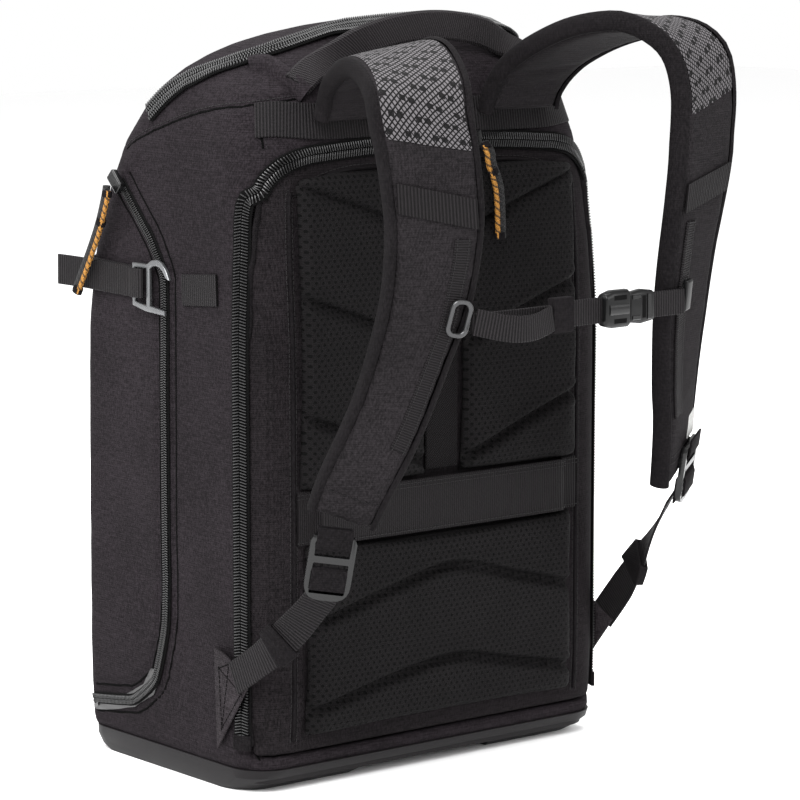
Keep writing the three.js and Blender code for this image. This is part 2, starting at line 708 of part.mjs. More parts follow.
const straps = { left: strapStations(-1), right: strapStations(1) };
const sideOf = { left: -1, right: 1 };

// The station on the falling part of a strap nearest a height
function strapAt(name, z) {
  const stations = straps[name];
  let k = stations.length - 1;
  while (k > 1 && stations[k].place.z < z) {
    k--;
  }
  const [a, b] = [stations[k], stations[Math.min(k + 1, stations.length - 1)]];
  const t = (a.place.z - z) / Math.max(a.place.z - b.place.z, 1);
  const blend = (key) => a[key].clone().lerp(b[key], t);
  return {
    place: blend('place'), along: blend('along').normalize(), across: blend('across').normalize(),
    out: blend('out').normalize(), width: a.width + (b.width - a.width) * t,
  };
}

const moved = (station, across, out, along = 0) => station.place.clone()
  .addScaledVector(station.across, across).addScaledVector(station.out, out).addScaledVector(station.along, along);

// A strip lying on a strap's outer face between two heights
function faceStrip(name, high, low, offset, width, thick, steps = 8) {
  const stations = [];
  for (let k = 0; k <= steps; k++) {
    const s = strapAt(name, high + (low - high) * k / steps);
    stations.push({ ...s, place: moved(s, offset * s.width, gap + 0.4 + thick / 2) });
  }
  return sweep(stations, () => slab(width, thick));
}


function makeStraps() {
  for (const [name, stations] of Object.entries(straps)) {
    const side = sideOf[name];
    const middle = stations.map((s) => ({ ...s, place: moved(s, 0, -strapThick / 2) }));
    addPiece(`shoulder_strap_${name}`, sweep(middle, (s) => slab(s.width, strapThick, 4)), foam);
    const band = [crossBandTop, crossBandBottom].map((z) => {
      const s = strapAt(name, z);
      return { ...s, place: moved(s, 0, gap + 0.5 + trimThick / 2) };
    });
    addPiece(`strap_cross_band_${name}`, sweep(band, (s) => slab(s.width * 0.86, trimThick)), webbing);
    addPiece(`strap_rail_${name}`,
      faceStrip(name, railTop, railBottom, -side * railInset, railWidth, trimThick), webbing);
  }
}

// Ladder locks: how far each hangs below its strap's end, and how it is set
const lockSets = {
  left: { drop: 10, aside: -0.02, off: 2, lean: -0.22, reach: 5 },
  right: { drop: -22, aside: 0.16, off: 4.4, lean: -0.12, reach: -2 },
};

function lockFrame(name) {
  const set = lockSets[name];
  const end = straps[name].at(-1);
  const side = sideOf[name];
  const along = end.along.clone().multiplyScalar(-1);
  const across = end.across.clone().addScaledVector(along, side * set.lean).normalize();
  const out = across.clone().cross(along).normalize();
  const up = out.clone().cross(across).normalize();
  const place = moved(end, set.aside * strapWidth, set.off, set.drop);
  return { place, across, up, out };
}

function lockShape() {
  const half = lockWidth / 2;
  const shape = new THREE.Shape();
  shape.moveTo(-half + 2, 0);
  shape.lineTo(half - 2, 0);
  shape.lineTo(half, -4);
  shape.lineTo(half, -lockLength + 12);
  shape.quadraticCurveTo(half, -lockLength, half - 11, -lockLength);
  shape.lineTo(-half + 11, -lockLength);
  shape.quadraticCurveTo(-half, -lockLength, -half, -lockLength + 12);
  shape.lineTo(-half, -4);
  const open = half - lockBar + 1;
  for (const [high, low] of lockSlots) {
    shape.holes.push(roundedShape(open, low, high, 1, new THREE.Path()));
  }
  return shape;
}

const lockSlots = [[-lockBar, -14], [-14 - lockBar, -27], [-27 - lockBar, -lockLength + lockBar]];

// A webbing that turns round a bar; points are (out, up) from the lock's place
function lockWebbing(frame, points) {
  const place = frame.place.clone();
  const shape = stripShape(points, webThick);
  return plateAt(shape, webWidth, place, frame.out, frame.up);
}

// Centre of a slot between the lock's bars, below its top edge
const slotMiddle = (k) => (lockSlots[k][0] + lockSlots[k][1]) / 2;

function makeLocks() {
  const clear = lockThick / 2 + webThick / 2 + gap;
  for (const name of Object.keys(sideOf)) {
    const frame = lockFrame(name);
    addPiece(`ladder_lock_${name}`, plateAt(lockShape(), lockThick, frame.place, frame.across, frame.up), plastic);
    const turn = slotMiddle(0);
    addPiece(`strap_end_webbing_${name}`, lockWebbing(frame, [
      [-clear, lockSets[name].reach], [-clear, turn + 3], [-clear + 1, turn + 0.6], [0, turn - 0.6],
      [clear - 1, turn + 0.6], [clear, turn + 3], [clear, 6],
    ]), webbing);
    const wrap = slotMiddle(1);
    addPiece(`lock_wrap_${name}`, lockWebbing(frame, [
      [-clear, -lockLength], [-clear, wrap - 3], [-clear + 1, wrap - 0.6], [0, wrap + 0.6],
      [clear - 1, wrap - 0.6], [clear, wrap - 3], [clear, -lockLength + 7],
    ]), webbing);
  }
}

// Side wings: cloth anchors sewn to the side seams, which the lower webbings pull on
const wing = [
  { back: 0.57, up: 0.19 }, { back: 0.72, up: 0.188 }, { back: 1.0, up: 0.158 }, { back: 0.6, up: 0.055 },
];

function wingPoint(side, row) {
  const lift = 1.6 + 3.4 * THREE.MathUtils.smoothstep(row.back, 0.6, 0.72);
  return v3(side * (halfWidth + lift), -row.back * halfDepth, row.up * packHeight);
}

function makeWings() {
  for (const [name, side] of Object.entries(sideOf)) {
    const face = wing.map((row) => wingPoint(side, row));
    const shift = v3(side * wingThick, 0, 0);
    addPiece(`wing_anchor_${name}`, loft([face, face.map((p) => p.clone().add(shift))]), cloth);
  }
}

// The lower webbing runs from the lock's middle bar to the wing's tip and turns on the way
function makeLowerWebbings() {
  const steps = 14;
  for (const [name, side] of Object.entries(sideOf)) {
    const frame = lockFrame(name);
    const start = frame.place.clone().addScaledVector(frame.up, -lockLength + 1)
      .addScaledVector(frame.out, -lockThick / 2 - 2 * webThick - 2 * gap - 1.2);
    const [a, b] = [wingPoint(side, wing[1]), wingPoint(side, wing[2])];
    const end = a.clone().lerp(b, 0.52).add(v3(side * (wingThick + webThick / 2 + gap + 1.1), 0, -6));
    const run = end.clone().sub(start).normalize();
    const edge = b.clone().sub(a).normalize();
    edge.addScaledVector(run, -edge.dot(run)).normalize();
    if (edge.dot(frame.across) < 0) {
      edge.negate();
    }
    const stations = [];
    for (let k = 0; k <= steps; k++) {
      const t = k / steps;
      const ease = THREE.MathUtils.smoothstep(t, 0.05, 0.8);
      const across = frame.across.clone().multiplyScalar(1 - ease).addScaledVector(edge, ease);
      across.addScaledVector(run, -across.dot(run)).normalize();
      const place = start.clone().lerp(end, t);
      place.z -= 5 * Math.sin(Math.PI * t);
      stations.push({ place, across, out: run.clone().cross(across) });
    }
    addPiece(`lower_webbing_${name}`, sweep(stations, () => slab(webWidth, webThick)), webbing);
    const keeper = stations.slice(6, 9).map((s) => ({ ...s }));
    addPiece(`webbing_keeper_${name}`, keeperRing(keeper), webbing);
  }
}

// A short folded end round the webbing: an outer slab less an inner one
function keeperRing(stations) {
  const outer = sweep(stations, () => slab(webWidth + 5, webThick + 5));
  const ends = [stations[0], ...stations, stations.at(-1)].map((s) => ({ ...s, place: s.place.clone() }));
  const reach = stations[1].place.clone().sub(stations[0].place);
  ends[0].place.sub(reach);
  ends.at(-1).place.add(reach);
  const inner = sweep(ends, () => slab(webWidth + 2 * gap, webThick + 2 * gap));
  return meshed(solid(outer).subtract(solid(inner)));
}

// Sternum strap: a metal ring on the left strap's rail, a slider on the right one's, webbing between them
function makeSternum() {
  const rest = gap + 0.4 + trimThick + 2 * gap;
  const left = strapAt('left', sternumHeight);
  const right = strapAt('right', sternumHeight);
  const ringAt = moved(left, (railInset + 0.1) * left.width, rest + ringWire / 2);
  const ring = roundedShape(ringWidth / 2, -ringLength / 2, ringLength / 2, 6);
  const [openX, openY] = [ringWidth / 2 - ringWire, ringLength / 2 - ringWire];
  ring.holes.push(roundedShape(openX, -openY, openY, 4, new THREE.Path()));
  addPiece('sternum_ring', plateAt(ring, ringWire, ringAt, left.across, left.along.clone().negate(), 0.5), metal);
  const sliderAt = moved(right, -railInset * right.width, rest + sliderThick / 2);
  const slider = [1, -1].map((k) => ({
    place: sliderAt.clone().addScaledVector(right.across, k * sliderHalf), across: right.along, out: right.out,
  }));
  addPiece('sternum_slider', sweep(slider, () => slab(sternumWidth + 5, sliderThick, 1)), plastic);
  const a = ringAt.clone().addScaledVector(left.across, ringWidth / 2 - ringWire / 2);
  const b = sliderAt.clone().addScaledVector(right.across, -sliderHalf);
  const span = b.clone().sub(a);
  const across = span.clone().normalize();
  const up = v3(0, 0, 1);
  const out = across.clone().cross(up);
  const point = (t, fall, push) => a.clone().addScaledVector(span, t)
    .add(v3(0, 0, -fall)).addScaledVector(out, push);
  // The left webbing sags in front; the elastic behind it runs straight
  const bead = ringWire + webThick;
  const web = [];
  for (let k = 0; k <= 12; k++) {
    const s = k / 12;
    const sag = Math.sin(Math.PI * s);
    web.push({ place: point(0.012 + 0.345 * s, 1 + 5 * sag + 3 * s, bead + 8 * sag), across: up, out });
  }
  addPiece('sternum_webbing_left', sweep(web, () => slab(sternumWidth, webThick)), webbing);
  const elastic = [0.0135, 0.357].map((t) => ({ place: point(t, 2, bead / 2 - 0.8), across: up, out }));
  addPiece('sternum_elastic', sweep(elastic, () => slab(sternumWidth - 5, webThick)), webbing);
  // Keeper block, webbing into the buckle, the buckle's two halves and the webbing to the right strap
  const straight = (from, to, wides, thick, edge) => sweep(
    wides.map((wide, k) => ({
      place: point(from + (to - from) * k / (wides.length - 1), 3, 1), across: up, out, wide,
    })), (s) => slab(s.wide, thick, edge));
  const slack = gap / span.length();
  const blockEnd = keeperAt + keeperLength / span.length();
  const buckleEnd = buckleAt + buckleLength / span.length();
  const buckleSplit = (buckleAt + buckleEnd) / 2;
  addPiece('sternum_keeper', straight(keeperAt, blockEnd, [23, 23], 7, 1), webbing);
  addPiece('sternum_webbing_middle',
    straight(blockEnd + slack, buckleAt - slack, [sternumWidth, sternumWidth], webThick, 0), webbing);
  const wide = buckleWidth;
  addPiece('sternum_buckle_socket',
    straight(buckleAt, buckleSplit - slack, [wide * 0.84, wide, wide, wide], buckleThick, 2.5), plastic);
  addPiece('sternum_buckle_plug',
    straight(buckleSplit + slack, buckleEnd, [wide * 0.8, wide * 0.92, wide * 0.8], buckleThick * 0.8, 2), plastic);
  addPiece('sternum_webbing_right',
    straight(buckleEnd + slack, 1 - 6 * slack, [sternumWidth, sternumWidth], webThick, 0), webbing);
}

// Side compression strap: webbing from the front edge, wire hook and a sewn loop behind it
// How far forward the compression webbing ends: clear of the side zip at its own height
function webbingEnd() {
  const z = sideStrapHeight + sideStrapWidth / 2;
  const k = sideZipRoute.findIndex((row) => row.up * packHeight < z);
  const [high, low] = [sideZipRoute[Math.max(k - 1, 0)], sideZipRoute[Math.max(k, 1)]];
  const t = THREE.MathUtils.clamp((z / packHeight - low.up) / (high.up - low.up), 0, 1);
  return (low.front + (high.front - low.front) * t) * halfDepth + sideZipWidth / 2 + webbingClear;
}

function makeCompression() {
  const start = webbingEnd();
  const z = sideStrapHeight;
  const front = spread([
    v3(-halfWidth * 0.8, halfDepth, z + 2), v3(-halfWidth * 0.93, halfDepth * 0.97, z + 1.5),
    v3(-halfWidth, halfDepth * 0.85, z + 1), v3(-halfWidth, (halfDepth * 0.85 + start) / 2, z), v3(-halfWidth, start, z - 1),
  ], 20);
  addPiece('compression_webbing', surfaceBand(front, {
    width: sideStrapWidth, thick: webThick, across: 2, rest: clothRest + 0.15,
  }), webbing);
  const sideX = settle(v3(-halfWidth, halfDepth * 0.5, z)).x;
  const lift = clothRest + webThick + gap + 1.4;
  const tailStart = start + hookSeat + 2 * gap + 0.6;
  const reach = halfDepth * 1.14 - tailStart;
  const tail = [0, 0.36, 0.73, 1].map((s, k) => ({
    place: v3(sideX - lift - [0, 0, 1, 4][k], tailStart + reach * s, z - 1 + 2 * s),
    across: v3(0, 0, 1), out: v3(-1, 0, 0),
  }));
  addPiece('compression_tail', sweep(tail, () => slab(sideStrapWidth, webThick)), webbing);
  const back = [v3(-halfWidth, -halfDepth * 0.22, z - 2), v3(-halfWidth, -halfDepth * 0.6, z + 1)];
  addPiece('compression_loop', surfaceBand(spread(back, 5), {
    width: sideStrapWidth, thick: webThick, across: 1, rest: clothRest,
  }), webbing);
}

// Wire hook: an outline of points in the side plane (toward the harness, up), swept by a round wire
function makeHook() {
  const [w, h] = [hookLength * 0.42, hookWidth / 2];
  const sideX = settle(v3(-halfWidth, 0, sideStrapHeight)).x;
  const x = sideX - clothRest - zipThick - gap - hookWire / 2 - 0.5;
  const y0 = webbingEnd() + hookSeat;
  const place = ([back, up]) => v3(x, y0 - back, sideStrapHeight - 2 + up);
  const frame = new THREE.Shape();
  frame.moveTo(0, -h);
  frame.lineTo(0, h);
  frame.lineTo(w, h);
  frame.bezierCurveTo(w + 9, h + 7, w + 20, h + 5, w + 26, h - 9);
  frame.lineTo(w + 22, h - 8);
  frame.bezierCurveTo(w + 17, h + 1, w + 8, h + 1, w + hookWire, h - hookWire);
  frame.lineTo(w + hookWire, -h + 1);
  frame.lineTo(w + 20, -h - 1);
  frame.lineTo(w + 20, -h - 1 - hookWire);
  frame.lineTo(w - 2, -h - hookWire);
  frame.lineTo(0, -h);
  const open = new THREE.Path();
  open.moveTo(hookWire, -h + hookWire);
  open.lineTo(w - 0.5, -h + 1);
  open.lineTo(w - 0.5, h - hookWire);
  open.lineTo(hookWire, h - hookWire);
  frame.holes.push(open);
  addPiece('compression_hook',
    plateAt(frame, hookWire, place([0, 0]), v3(0, -1, 0), v3(0, 0, 1), 0.6), metal);
}

// Zip sliders with their cord pulls
function makePull(name, at, ahead, size, route, material) {
  const seat = settle(at);
  const out = outward(seat);
  const run = ahead.clone().addScaledVector(out, -ahead.dot(out)).normalize();
  const middle = seat.clone().addScaledVector(out, clothRest + 0.3 + zipThick + gap + size[2] / 2);
  const shape = roundedShape(size[0] / 2, -size[1] / 2, size[1] / 2, 1.5);
  addPiece(`${name}_slider`, plateAt(shape, size[2], middle, run.clone().cross(out), run, 0.6), plastic);
  const start = middle.clone().addScaledVector(out, size[2] / 2 + gap + pullCord);
  const curve = new THREE.CatmullRomCurve3([start, ...route]);
  const circle = new THREE.Shape();
  circle.absarc(0, 0, pullCord, 0, Math.PI * 2);
  const cord = new THREE.ExtrudeGeometry(circle, {
    steps: 10, curveSegments: 4, extrudePath: curve, bevelEnabled: false,
  });
  addPiece(`${name}_cord`, cord, material);
}

function makePulls() {
  const sideX = settle(v3(-halfWidth, halfDepth * 0.5, sideStrapHeight)).x;
  const hang = sideX - pullCord - 1.5;
  makePull('side_zip', v3(-halfWidth, halfDepth * 0.52, packHeight * 0.785), v3(0, 0.75, 0.66), [9, 16, 4.5], [
    v3(hang - 5.6, halfDepth * 0.56, packHeight * 0.758), v3(hang - 3.6, halfDepth * 0.74, packHeight * 0.71),
    v3(hang - 6, halfDepth * 0.97, packHeight * 0.632),
  ], orangeCord);
  const y = -halfDepth - padThick - gap - pullCord - 0.4;
  const crown = doorShoulder + doorCorner + doorCrown / 2;
  makePull('main_zip', v3(pullAside, -halfDepth * 0.92, crown), v3(0, 0, 1), [8, 13, 4.5], [
    v3(pullAside + 0.5, y + 0.6, crown - 8.5), v3(pullAside + 1, y, crown - 16), v3(pullAside + 8, y, crown - 34),
    v3(pullAside + 10, y, crown - 67),
  ], orangeCord);
}

function makeTag() {
  const s = strapAt('right', straps.right.at(-1).place.z + tagRise);
  const shape = roundedShape(6, -10, 10, 1);
  const place = moved(s, 0.3 * s.width, gap + 1.2);
  addPiece('strap_tag', plateAt(shape, 1, place, s.across, s.along.clone().negate()), tagCloth);
}

makeTray();
makeBody();
makeZips();
makePads();
makeLuggageBand();
makeYoke();
makeHandle();
makeStraps();
makeLocks();
makeWings();
makeLowerWebbings();
makeSternum();
makeCompression();
makeHook();
makePulls();
makeTag();

// The origin is the middle of the footprint's box, on the ground
const box = new THREE.Box3().setFromObject(group);
const backpack = new THREE.Group();
group.position.set(-(box.min.x + box.max.x) / 2, -(box.min.y + box.max.y) / 2, -box.min.z);
backpack.add(group);
backpack.updateMatrixWorld(true);

export default backpack;
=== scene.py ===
"""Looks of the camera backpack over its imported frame, in metres, with the frame's own axes."""
import logging
import math
from dataclasses import dataclass, field
from enum import Enum
from typing import Callable, Optional, Sequence

import bmesh
import bpy
from mathutils import Matrix, Vector, noise
from mathutils.bvhtree import BVHTree
from mathutils.kdtree import KDTree


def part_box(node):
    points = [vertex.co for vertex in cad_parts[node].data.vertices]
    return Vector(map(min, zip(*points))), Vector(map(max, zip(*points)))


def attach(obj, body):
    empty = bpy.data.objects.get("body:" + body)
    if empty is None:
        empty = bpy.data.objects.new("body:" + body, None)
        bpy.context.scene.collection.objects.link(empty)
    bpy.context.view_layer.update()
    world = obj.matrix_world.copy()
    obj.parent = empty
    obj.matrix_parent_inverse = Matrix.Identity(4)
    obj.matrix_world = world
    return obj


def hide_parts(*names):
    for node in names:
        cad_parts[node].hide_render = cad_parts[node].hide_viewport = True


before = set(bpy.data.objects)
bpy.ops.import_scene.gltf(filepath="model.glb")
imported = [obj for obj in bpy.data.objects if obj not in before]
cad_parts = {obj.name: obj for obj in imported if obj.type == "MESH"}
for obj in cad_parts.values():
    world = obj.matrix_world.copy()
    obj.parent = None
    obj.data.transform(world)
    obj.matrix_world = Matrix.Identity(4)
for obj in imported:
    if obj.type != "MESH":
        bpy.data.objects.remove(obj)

LOG = logging.getLogger("backpack")
MM = 0.001  # one millimetre in the frame's metres
STRIP_STEP = 0.005  # from station to station of a webbing, in metres
SEAM_STEP = 0.006  # from station to station of a sewn line, in metres
THREAD_LIFT = 0.0002  # how far threads stand off the cloth, in metres
WEAVE = 4200.0  # turns per metre of the wave that draws a weave or knit
Profile = Sequence[tuple[float, float]]
Rows = list[tuple[float, ...]]
Places = tuple[tuple[float, float], ...]
Colour = tuple[float, float, float]


def carried_over(rows: Rows) -> Rows:
    """Rows of x, y, z and outward direction, carried over to the pack's other side."""
    return [(-x, y, z, -i, *rest) for x, y, z, i, *rest in rows]


# Middle line of each band as built: x, y, z in millimetres from the tray's middle, and the outward direction
ROUTES: dict[str, Rows] = {
    "main_zip": [
        (154.1, -84.6, 33.5, 0.92, -0.39, -0.02), (154.5, -84.8, 60.2, 0.93, -0.37, -0.01),
        (154.5, -84.8, 132.3, 0.93, -0.37, 0), (154.5, -84.8, 226.8, 0.93, -0.37, 0),
        (154.5, -84.8, 299.9, 0.93, -0.37, 0.02), (152.3, -83.6, 349.6, 0.89, -0.45, 0.06),
        (151.1, -82.9, 363.6, 0.88, -0.47, 0.1), (149.4, -81.6, 384.2, 0.87, -0.49, 0.1),
        (148.5, -82, 390.7, 0.85, -0.52, 0.1), (147.2, -82.8, 396.8, 0.82, -0.56, 0.1),
        (141.4, -88.6, 401, 0.66, -0.71, 0.23), (138.2, -89.7, 406.4, 0.61, -0.76, 0.23),
        (134.2, -91.2, 411.3, 0.54, -0.81, 0.21), (129.5, -92.9, 415.6, 0.45, -0.87, 0.2),
        (123.8, -94.7, 419.2, 0.34, -0.93, 0.17), (117.2, -96.1, 421.9, 0.2, -0.97, 0.13),
        (109.9, -96.9, 423.7, 0.04, -1, 0.07), (102.9, -96.8, 424.8, 0, -1, 0.05),
        (96, -96.8, 425.2, 0, -1, 0.05), (80, -96.8, 426.4, 0, -1, 0.05), (64, -96.7, 427.4, 0, -1, 0.05),
        (48, -96.7, 428.1, 0, -1, 0.05), (32, -96.6, 428.7, 0, -1, 0.05), (16, -96.6, 429, 0, -1, 0.05),
        (0, -96.6, 429.1, 0, -1, 0.05),
    ],
    "side_zip": [
        (-152.8, 53, 400, -0.99, 0, 0.1), (-153.3, 43.6, 391.2, -1, 0, 0.05),
        (-154.2, 24.8, 373.1, -1, 0, 0.05), (-154.7, 15.3, 364.2, -1, 0, 0.05),
        (-155.6, 0.1, 343.2, -1, 0, 0.02), (-155.8, -2.3, 330.5, -1, 0, 0.02),
        (-156.3, -2.9, 304.3, -1, 0, 0.02), (-156.4, -2.7, 291.2, -1, 0, 0),
        (-156.4, -2.1, 265.1, -1, 0, 0), (-156.4, -2.1, 252.1, -1, 0, 0), (-156.4, -2.1, 225.9, -1, 0, 0),
        (-156.4, -2.1, 212.8, -1, 0, 0), (-156.4, -2.1, 186.7, -1, 0, 0), (-156.4, -2.1, 173.6, -1, 0, 0),
        (-156.4, -2.1, 147.5, -1, 0, 0), (-156.4, -2.4, 134.5, -1, 0, 0), (-156.4, -1.3, 108.4, -1, 0, 0),
        (-156.4, 0.8, 95.5, -1, 0, 0), (-156.4, 8.7, 70.6, -1, 0, 0), (-156.4, 15.2, 59.3, -1, 0, -0.01),
        (-156.2, 36.2, 44.8, -1, 0, -0.01), (-156.2, 48.9, 41.6, -1, 0, -0.01),
        (-156.2, 74.8, 37.9, -1, 0, -0.01), (-156, 87.8, 36.2, -0.99, 0.11, -0.02),
    ],
    "lid_zip": [
        (-144.4, 30.8, 447.3, -0.95, 0.06, 0.31), (-139.8, 17.6, 460, -0.91, 0, 0.41),
        (-134.4, 2.6, 469.9, -0.76, 0, 0.65), (-131.3, -5.3, 473.5, -0.76, 0, 0.65),
        (-124.6, -21.1, 480.1, -0.58, 0, 0.82), (-116, -36.3, 485.8, -0.56, -0.09, 0.82),
        (-101.8, -46.6, 491.4, -0.41, -0.19, 0.89), (-93.7, -50, 494.2, -0.39, -0.25, 0.89),
        (-75.6, -52.5, 499.1, -0.26, -0.24, 0.93), (-57.3, -52.2, 503.4, -0.17, -0.24, 0.95),
        (-38.6, -52.2, 505.9, -0.05, -0.45, 0.89), (-29.4, -52, 506.6, -0.05, -0.45, 0.89),
        (-10.9, -51.7, 507.8, -0.05, -0.45, 0.89), (7.6, -51.9, 508.8, -0.05, -0.45, 0.89),
        (26.2, -52.9, 509.4, -0.05, -0.45, 0.89), (35.4, -53.8, 509.6, -0.05, -0.45, 0.89),
        (53.9, -54.8, 509.6, 0.03, -0.32, 0.95), (73.5, -54.1, 507.7, 0.18, -0.32, 0.93),
        (92.5, -51.4, 504.1, 0.34, -0.31, 0.89), (101, -48, 501.8, 0.38, -0.24, 0.9),
        (116.1, -37.8, 496.2, 0.6, -0.13, 0.79), (124.4, -22.4, 490.4, 0.63, 0, 0.78),
        (130.1, -6, 484, 0.82, 0, 0.57), (132.5, 2.2, 480.5, 0.82, 0, 0.57),
        (137.4, 17.6, 471.7, 0.92, 0.08, 0.38), (141.2, 30.6, 459.1, 0.89, 0.18, 0.43),
    ],
    "centre_channel": [
        (0, -103.7, 208, 0, -1, 0), (0, -103.7, 258.8, 0, -1, 0), (0, -103.2, 309.6, 0, -1, 0.05),
        (0, -100.5, 360.2, 0, -1, 0.06), (0, -97.7, 410.8, 0, -1, 0.05),
    ],
    "top_yoke_webbing": [
        (-141.8, -61.3, 448.3, -0.89, -0.3, 0.35), (-126.1, -81.8, 451.6, -0.59, -0.72, 0.36),
        (-105.3, -92.2, 450.1, -0.18, -0.95, 0.25), (-87.8, -93.1, 449.3, -0, -0.98, 0.18),
        (-68.3, -93.1, 449.3, -0, -0.98, 0.18), (-58.6, -93.2, 449.4, -0, -0.98, 0.18),
        (-39.1, -93.2, 449.4, -0, -0.98, 0.18), (-19.5, -93.2, 449.4, -0, -0.98, 0.18),
        (0, -93.2, 449.4, -0, -0.98, 0.18), (19.5, -93.3, 449.4, -0, -0.98, 0.17),
        (39.1, -93.3, 449.4, -0, -0.98, 0.17), (58.6, -93.3, 449.4, -0, -0.98, 0.17),
        (68.3, -93.4, 449.4, -0, -0.98, 0.17), (87.8, -93.4, 449.4, -0, -0.98, 0.17),
        (105.2, -92.7, 450, 0.15, -0.96, 0.23), (126.6, -82.7, 451.4, 0.59, -0.74, 0.33),
        (142.7, -61.4, 448.1, 0.91, -0.29, 0.31),
    ],
    "haul_handle": [
        (-105.7, -83.6, 469.9, -0.32, -0.81, 0.5), (-92.3, -80.9, 478.5, -0.22, -0.77, 0.6),
        (-80, -79.8, 483.4, -0.1, -0.84, 0.53), (-68.6, -80.3, 488.5, -0.01, -0.98, 0.2),
        (-57.2, -81.3, 494.5, 0, -1, 0), (-45.8, -82, 498.4, 0, -1, 0), (-34.3, -82.6, 501.4, 0, -1, 0),
        (-22.9, -83.2, 503.7, 0, -1, 0), (-11.4, -83.6, 505.2, 0, -1, 0), (0, -84, 506, 0, -1, 0),
        (11.4, -83.6, 506.1, 0, -1, 0), (22.9, -83.2, 505.5, 0, -1, 0), (34.3, -82.6, 504.1, 0, -1, 0),
        (45.8, -82, 502, 0, -1, 0), (57.2, -81.3, 499.1, 0, -1, 0),
        (68.7, -80.2, 494.2, -0.01, -0.98, 0.19), (80.1, -79.8, 489.9, 0.05, -0.88, 0.48),
        (92.1, -80.9, 485.5, 0.2, -0.82, 0.53), (105, -82, 477.9, 0.3, -0.77, 0.57),
    ],
    "strap_rail_left": [
        (-98.2, -243.7, 379.8, -0.31, -0.94, -0.16), (-98.1, -240.7, 362.7, -0.32, -0.93, -0.17),
        (-100.8, -232.8, 328.1, -0.32, -0.93, -0.2), (-104.2, -227.9, 311.2, -0.33, -0.92, -0.21),
        (-107.9, -223.2, 294.8, -0.34, -0.92, -0.2), (-116.4, -213.7, 261.5, -0.41, -0.9, -0.18),
        (-122.1, -208.4, 244.6, -0.45, -0.88, -0.17),
    ],
    "strap_cross_band_left": [
        (-117, -241, 410.9, -0.29, -0.96, -0.05), (-114.7, -240.1, 391.8, -0.3, -0.95, -0.11),
    ],
    "lower_webbing_left": [
        (-147.1, -163.7, 148.3, -0.49, -0.64, -0.6), (-149.5, -152.9, 136.7, -0.52, -0.63, -0.58),
        (-151.9, -142.2, 125.5, -0.69, -0.56, -0.46), (-153.1, -136.8, 120.1, -0.8, -0.49, -0.35),
        (-155.5, -126, 110.1, -0.95, -0.31, -0.11), (-158, -115.2, 101.1, -0.98, -0.15, 0.08),
        (-159.2, -109.8, 97, -0.99, -0.1, 0.13), (-161.6, -99.1, 89.2, -0.98, -0.08, 0.16),
        (-164, -88.3, 81.9, -0.98, -0.08, 0.16),
    ],
    "lower_webbing_right": [
        (153.4, -170.2, 181.3, 0.54, -0.68, -0.5), (154.9, -158.5, 165, 0.57, -0.66, -0.49),
        (156.4, -146.8, 149, 0.71, -0.58, -0.4), (157.2, -141, 141.3, 0.8, -0.5, -0.33),
        (158.7, -129.2, 126.6, 0.94, -0.29, -0.14), (160.2, -117.5, 112.9, 0.99, -0.12, 0.01),
        (161, -111.7, 106.4, 1, -0.06, 0.05), (162.5, -100, 94, 1, -0.04, 0.07),
        (164, -88.3, 81.9, 1, -0.04, 0.07),
    ],
    "sternum_webbing_left": [
        (-88, -243.9, 327.4, 0.01, -1, 0), (-77.1, -247.8, 324.5, 0.01, -1, 0),
        (-71.7, -249.4, 323.2, 0.01, -1, 0), (-66.3, -250.6, 322.2, 0.01, -1, 0),
        (-55.4, -251.6, 321.1, 0.01, -1, 0), (-44.6, -250.4, 321.4, 0.01, -1, 0),
        (-39.2, -249.1, 322, 0.01, -1, 0), (-33.8, -247.4, 322.8, 0.01, -1, 0),
        (-22.9, -243.3, 324.9, 0.01, -1, 0),
    ],
    "sternum_elastic": [
        (-87.8, -240.9, 326.4, 0.01, -1, 0), (-23, -240.3, 326.9, 0.01, -1, 0),
    ],
    "sternum_webbing_middle": [
        (-4.2, -239.7, 326, 0.01, -1, 0), (22.6, -239.4, 326.2, 0.01, -1, 0),
    ],
    "sternum_webbing_right": [
        (67.2, -239, 326.5, 0.01, -1, 0), (96.5, -238.7, 326.7, 0.01, -1, 0),
    ],
    "compression_webbing": [
        (-124, 98.8, 336.7, 0, 0.99, 0.1), (-133.6, 98.8, 336.5, 0, 0.99, 0.1),
        (-142.4, 97.6, 336.3, -0.34, 0.93, 0.12), (-146.3, 95.6, 336.2, -0.53, 0.84, 0.12),
        (-152.7, 89.3, 336, -0.84, 0.53, 0.1), (-155.7, 80.6, 335.8, -0.99, 0.1, 0.04),
        (-155.8, 71, 335.5, -1, 0, 0.02), (-155.8, 61.3, 335.2, -1, 0, 0.02),
        (-155.8, 51.7, 334.8, -1, 0, 0.02), (-155.8, 46.9, 334.7, -1, 0, 0.02),
        (-155.8, 37.2, 334.3, -1, 0, 0.02), (-155.8, 27.5, 334, -1, 0, 0.02),
    ],
    "compression_tail": [
        (-158.1, 30.7, 334, -1, 0, 0), (-158.1, 61.5, 334.7, -1, 0, 0), (-159.1, 93.2, 335.5, -1, 0, 0),
        (-162.1, 116.3, 336, -1, 0, 0),
    ],
    "compression_loop": [
        (-155.7, -22.4, 333, -1, 0, 0.02), (-155.7, -37.9, 334.2, -1, 0, 0.02),
        (-155.6, -45.7, 334.8, -1, 0, 0.02), (-155.6, -61.2, 336, -1, 0, 0.02),
    ],
}

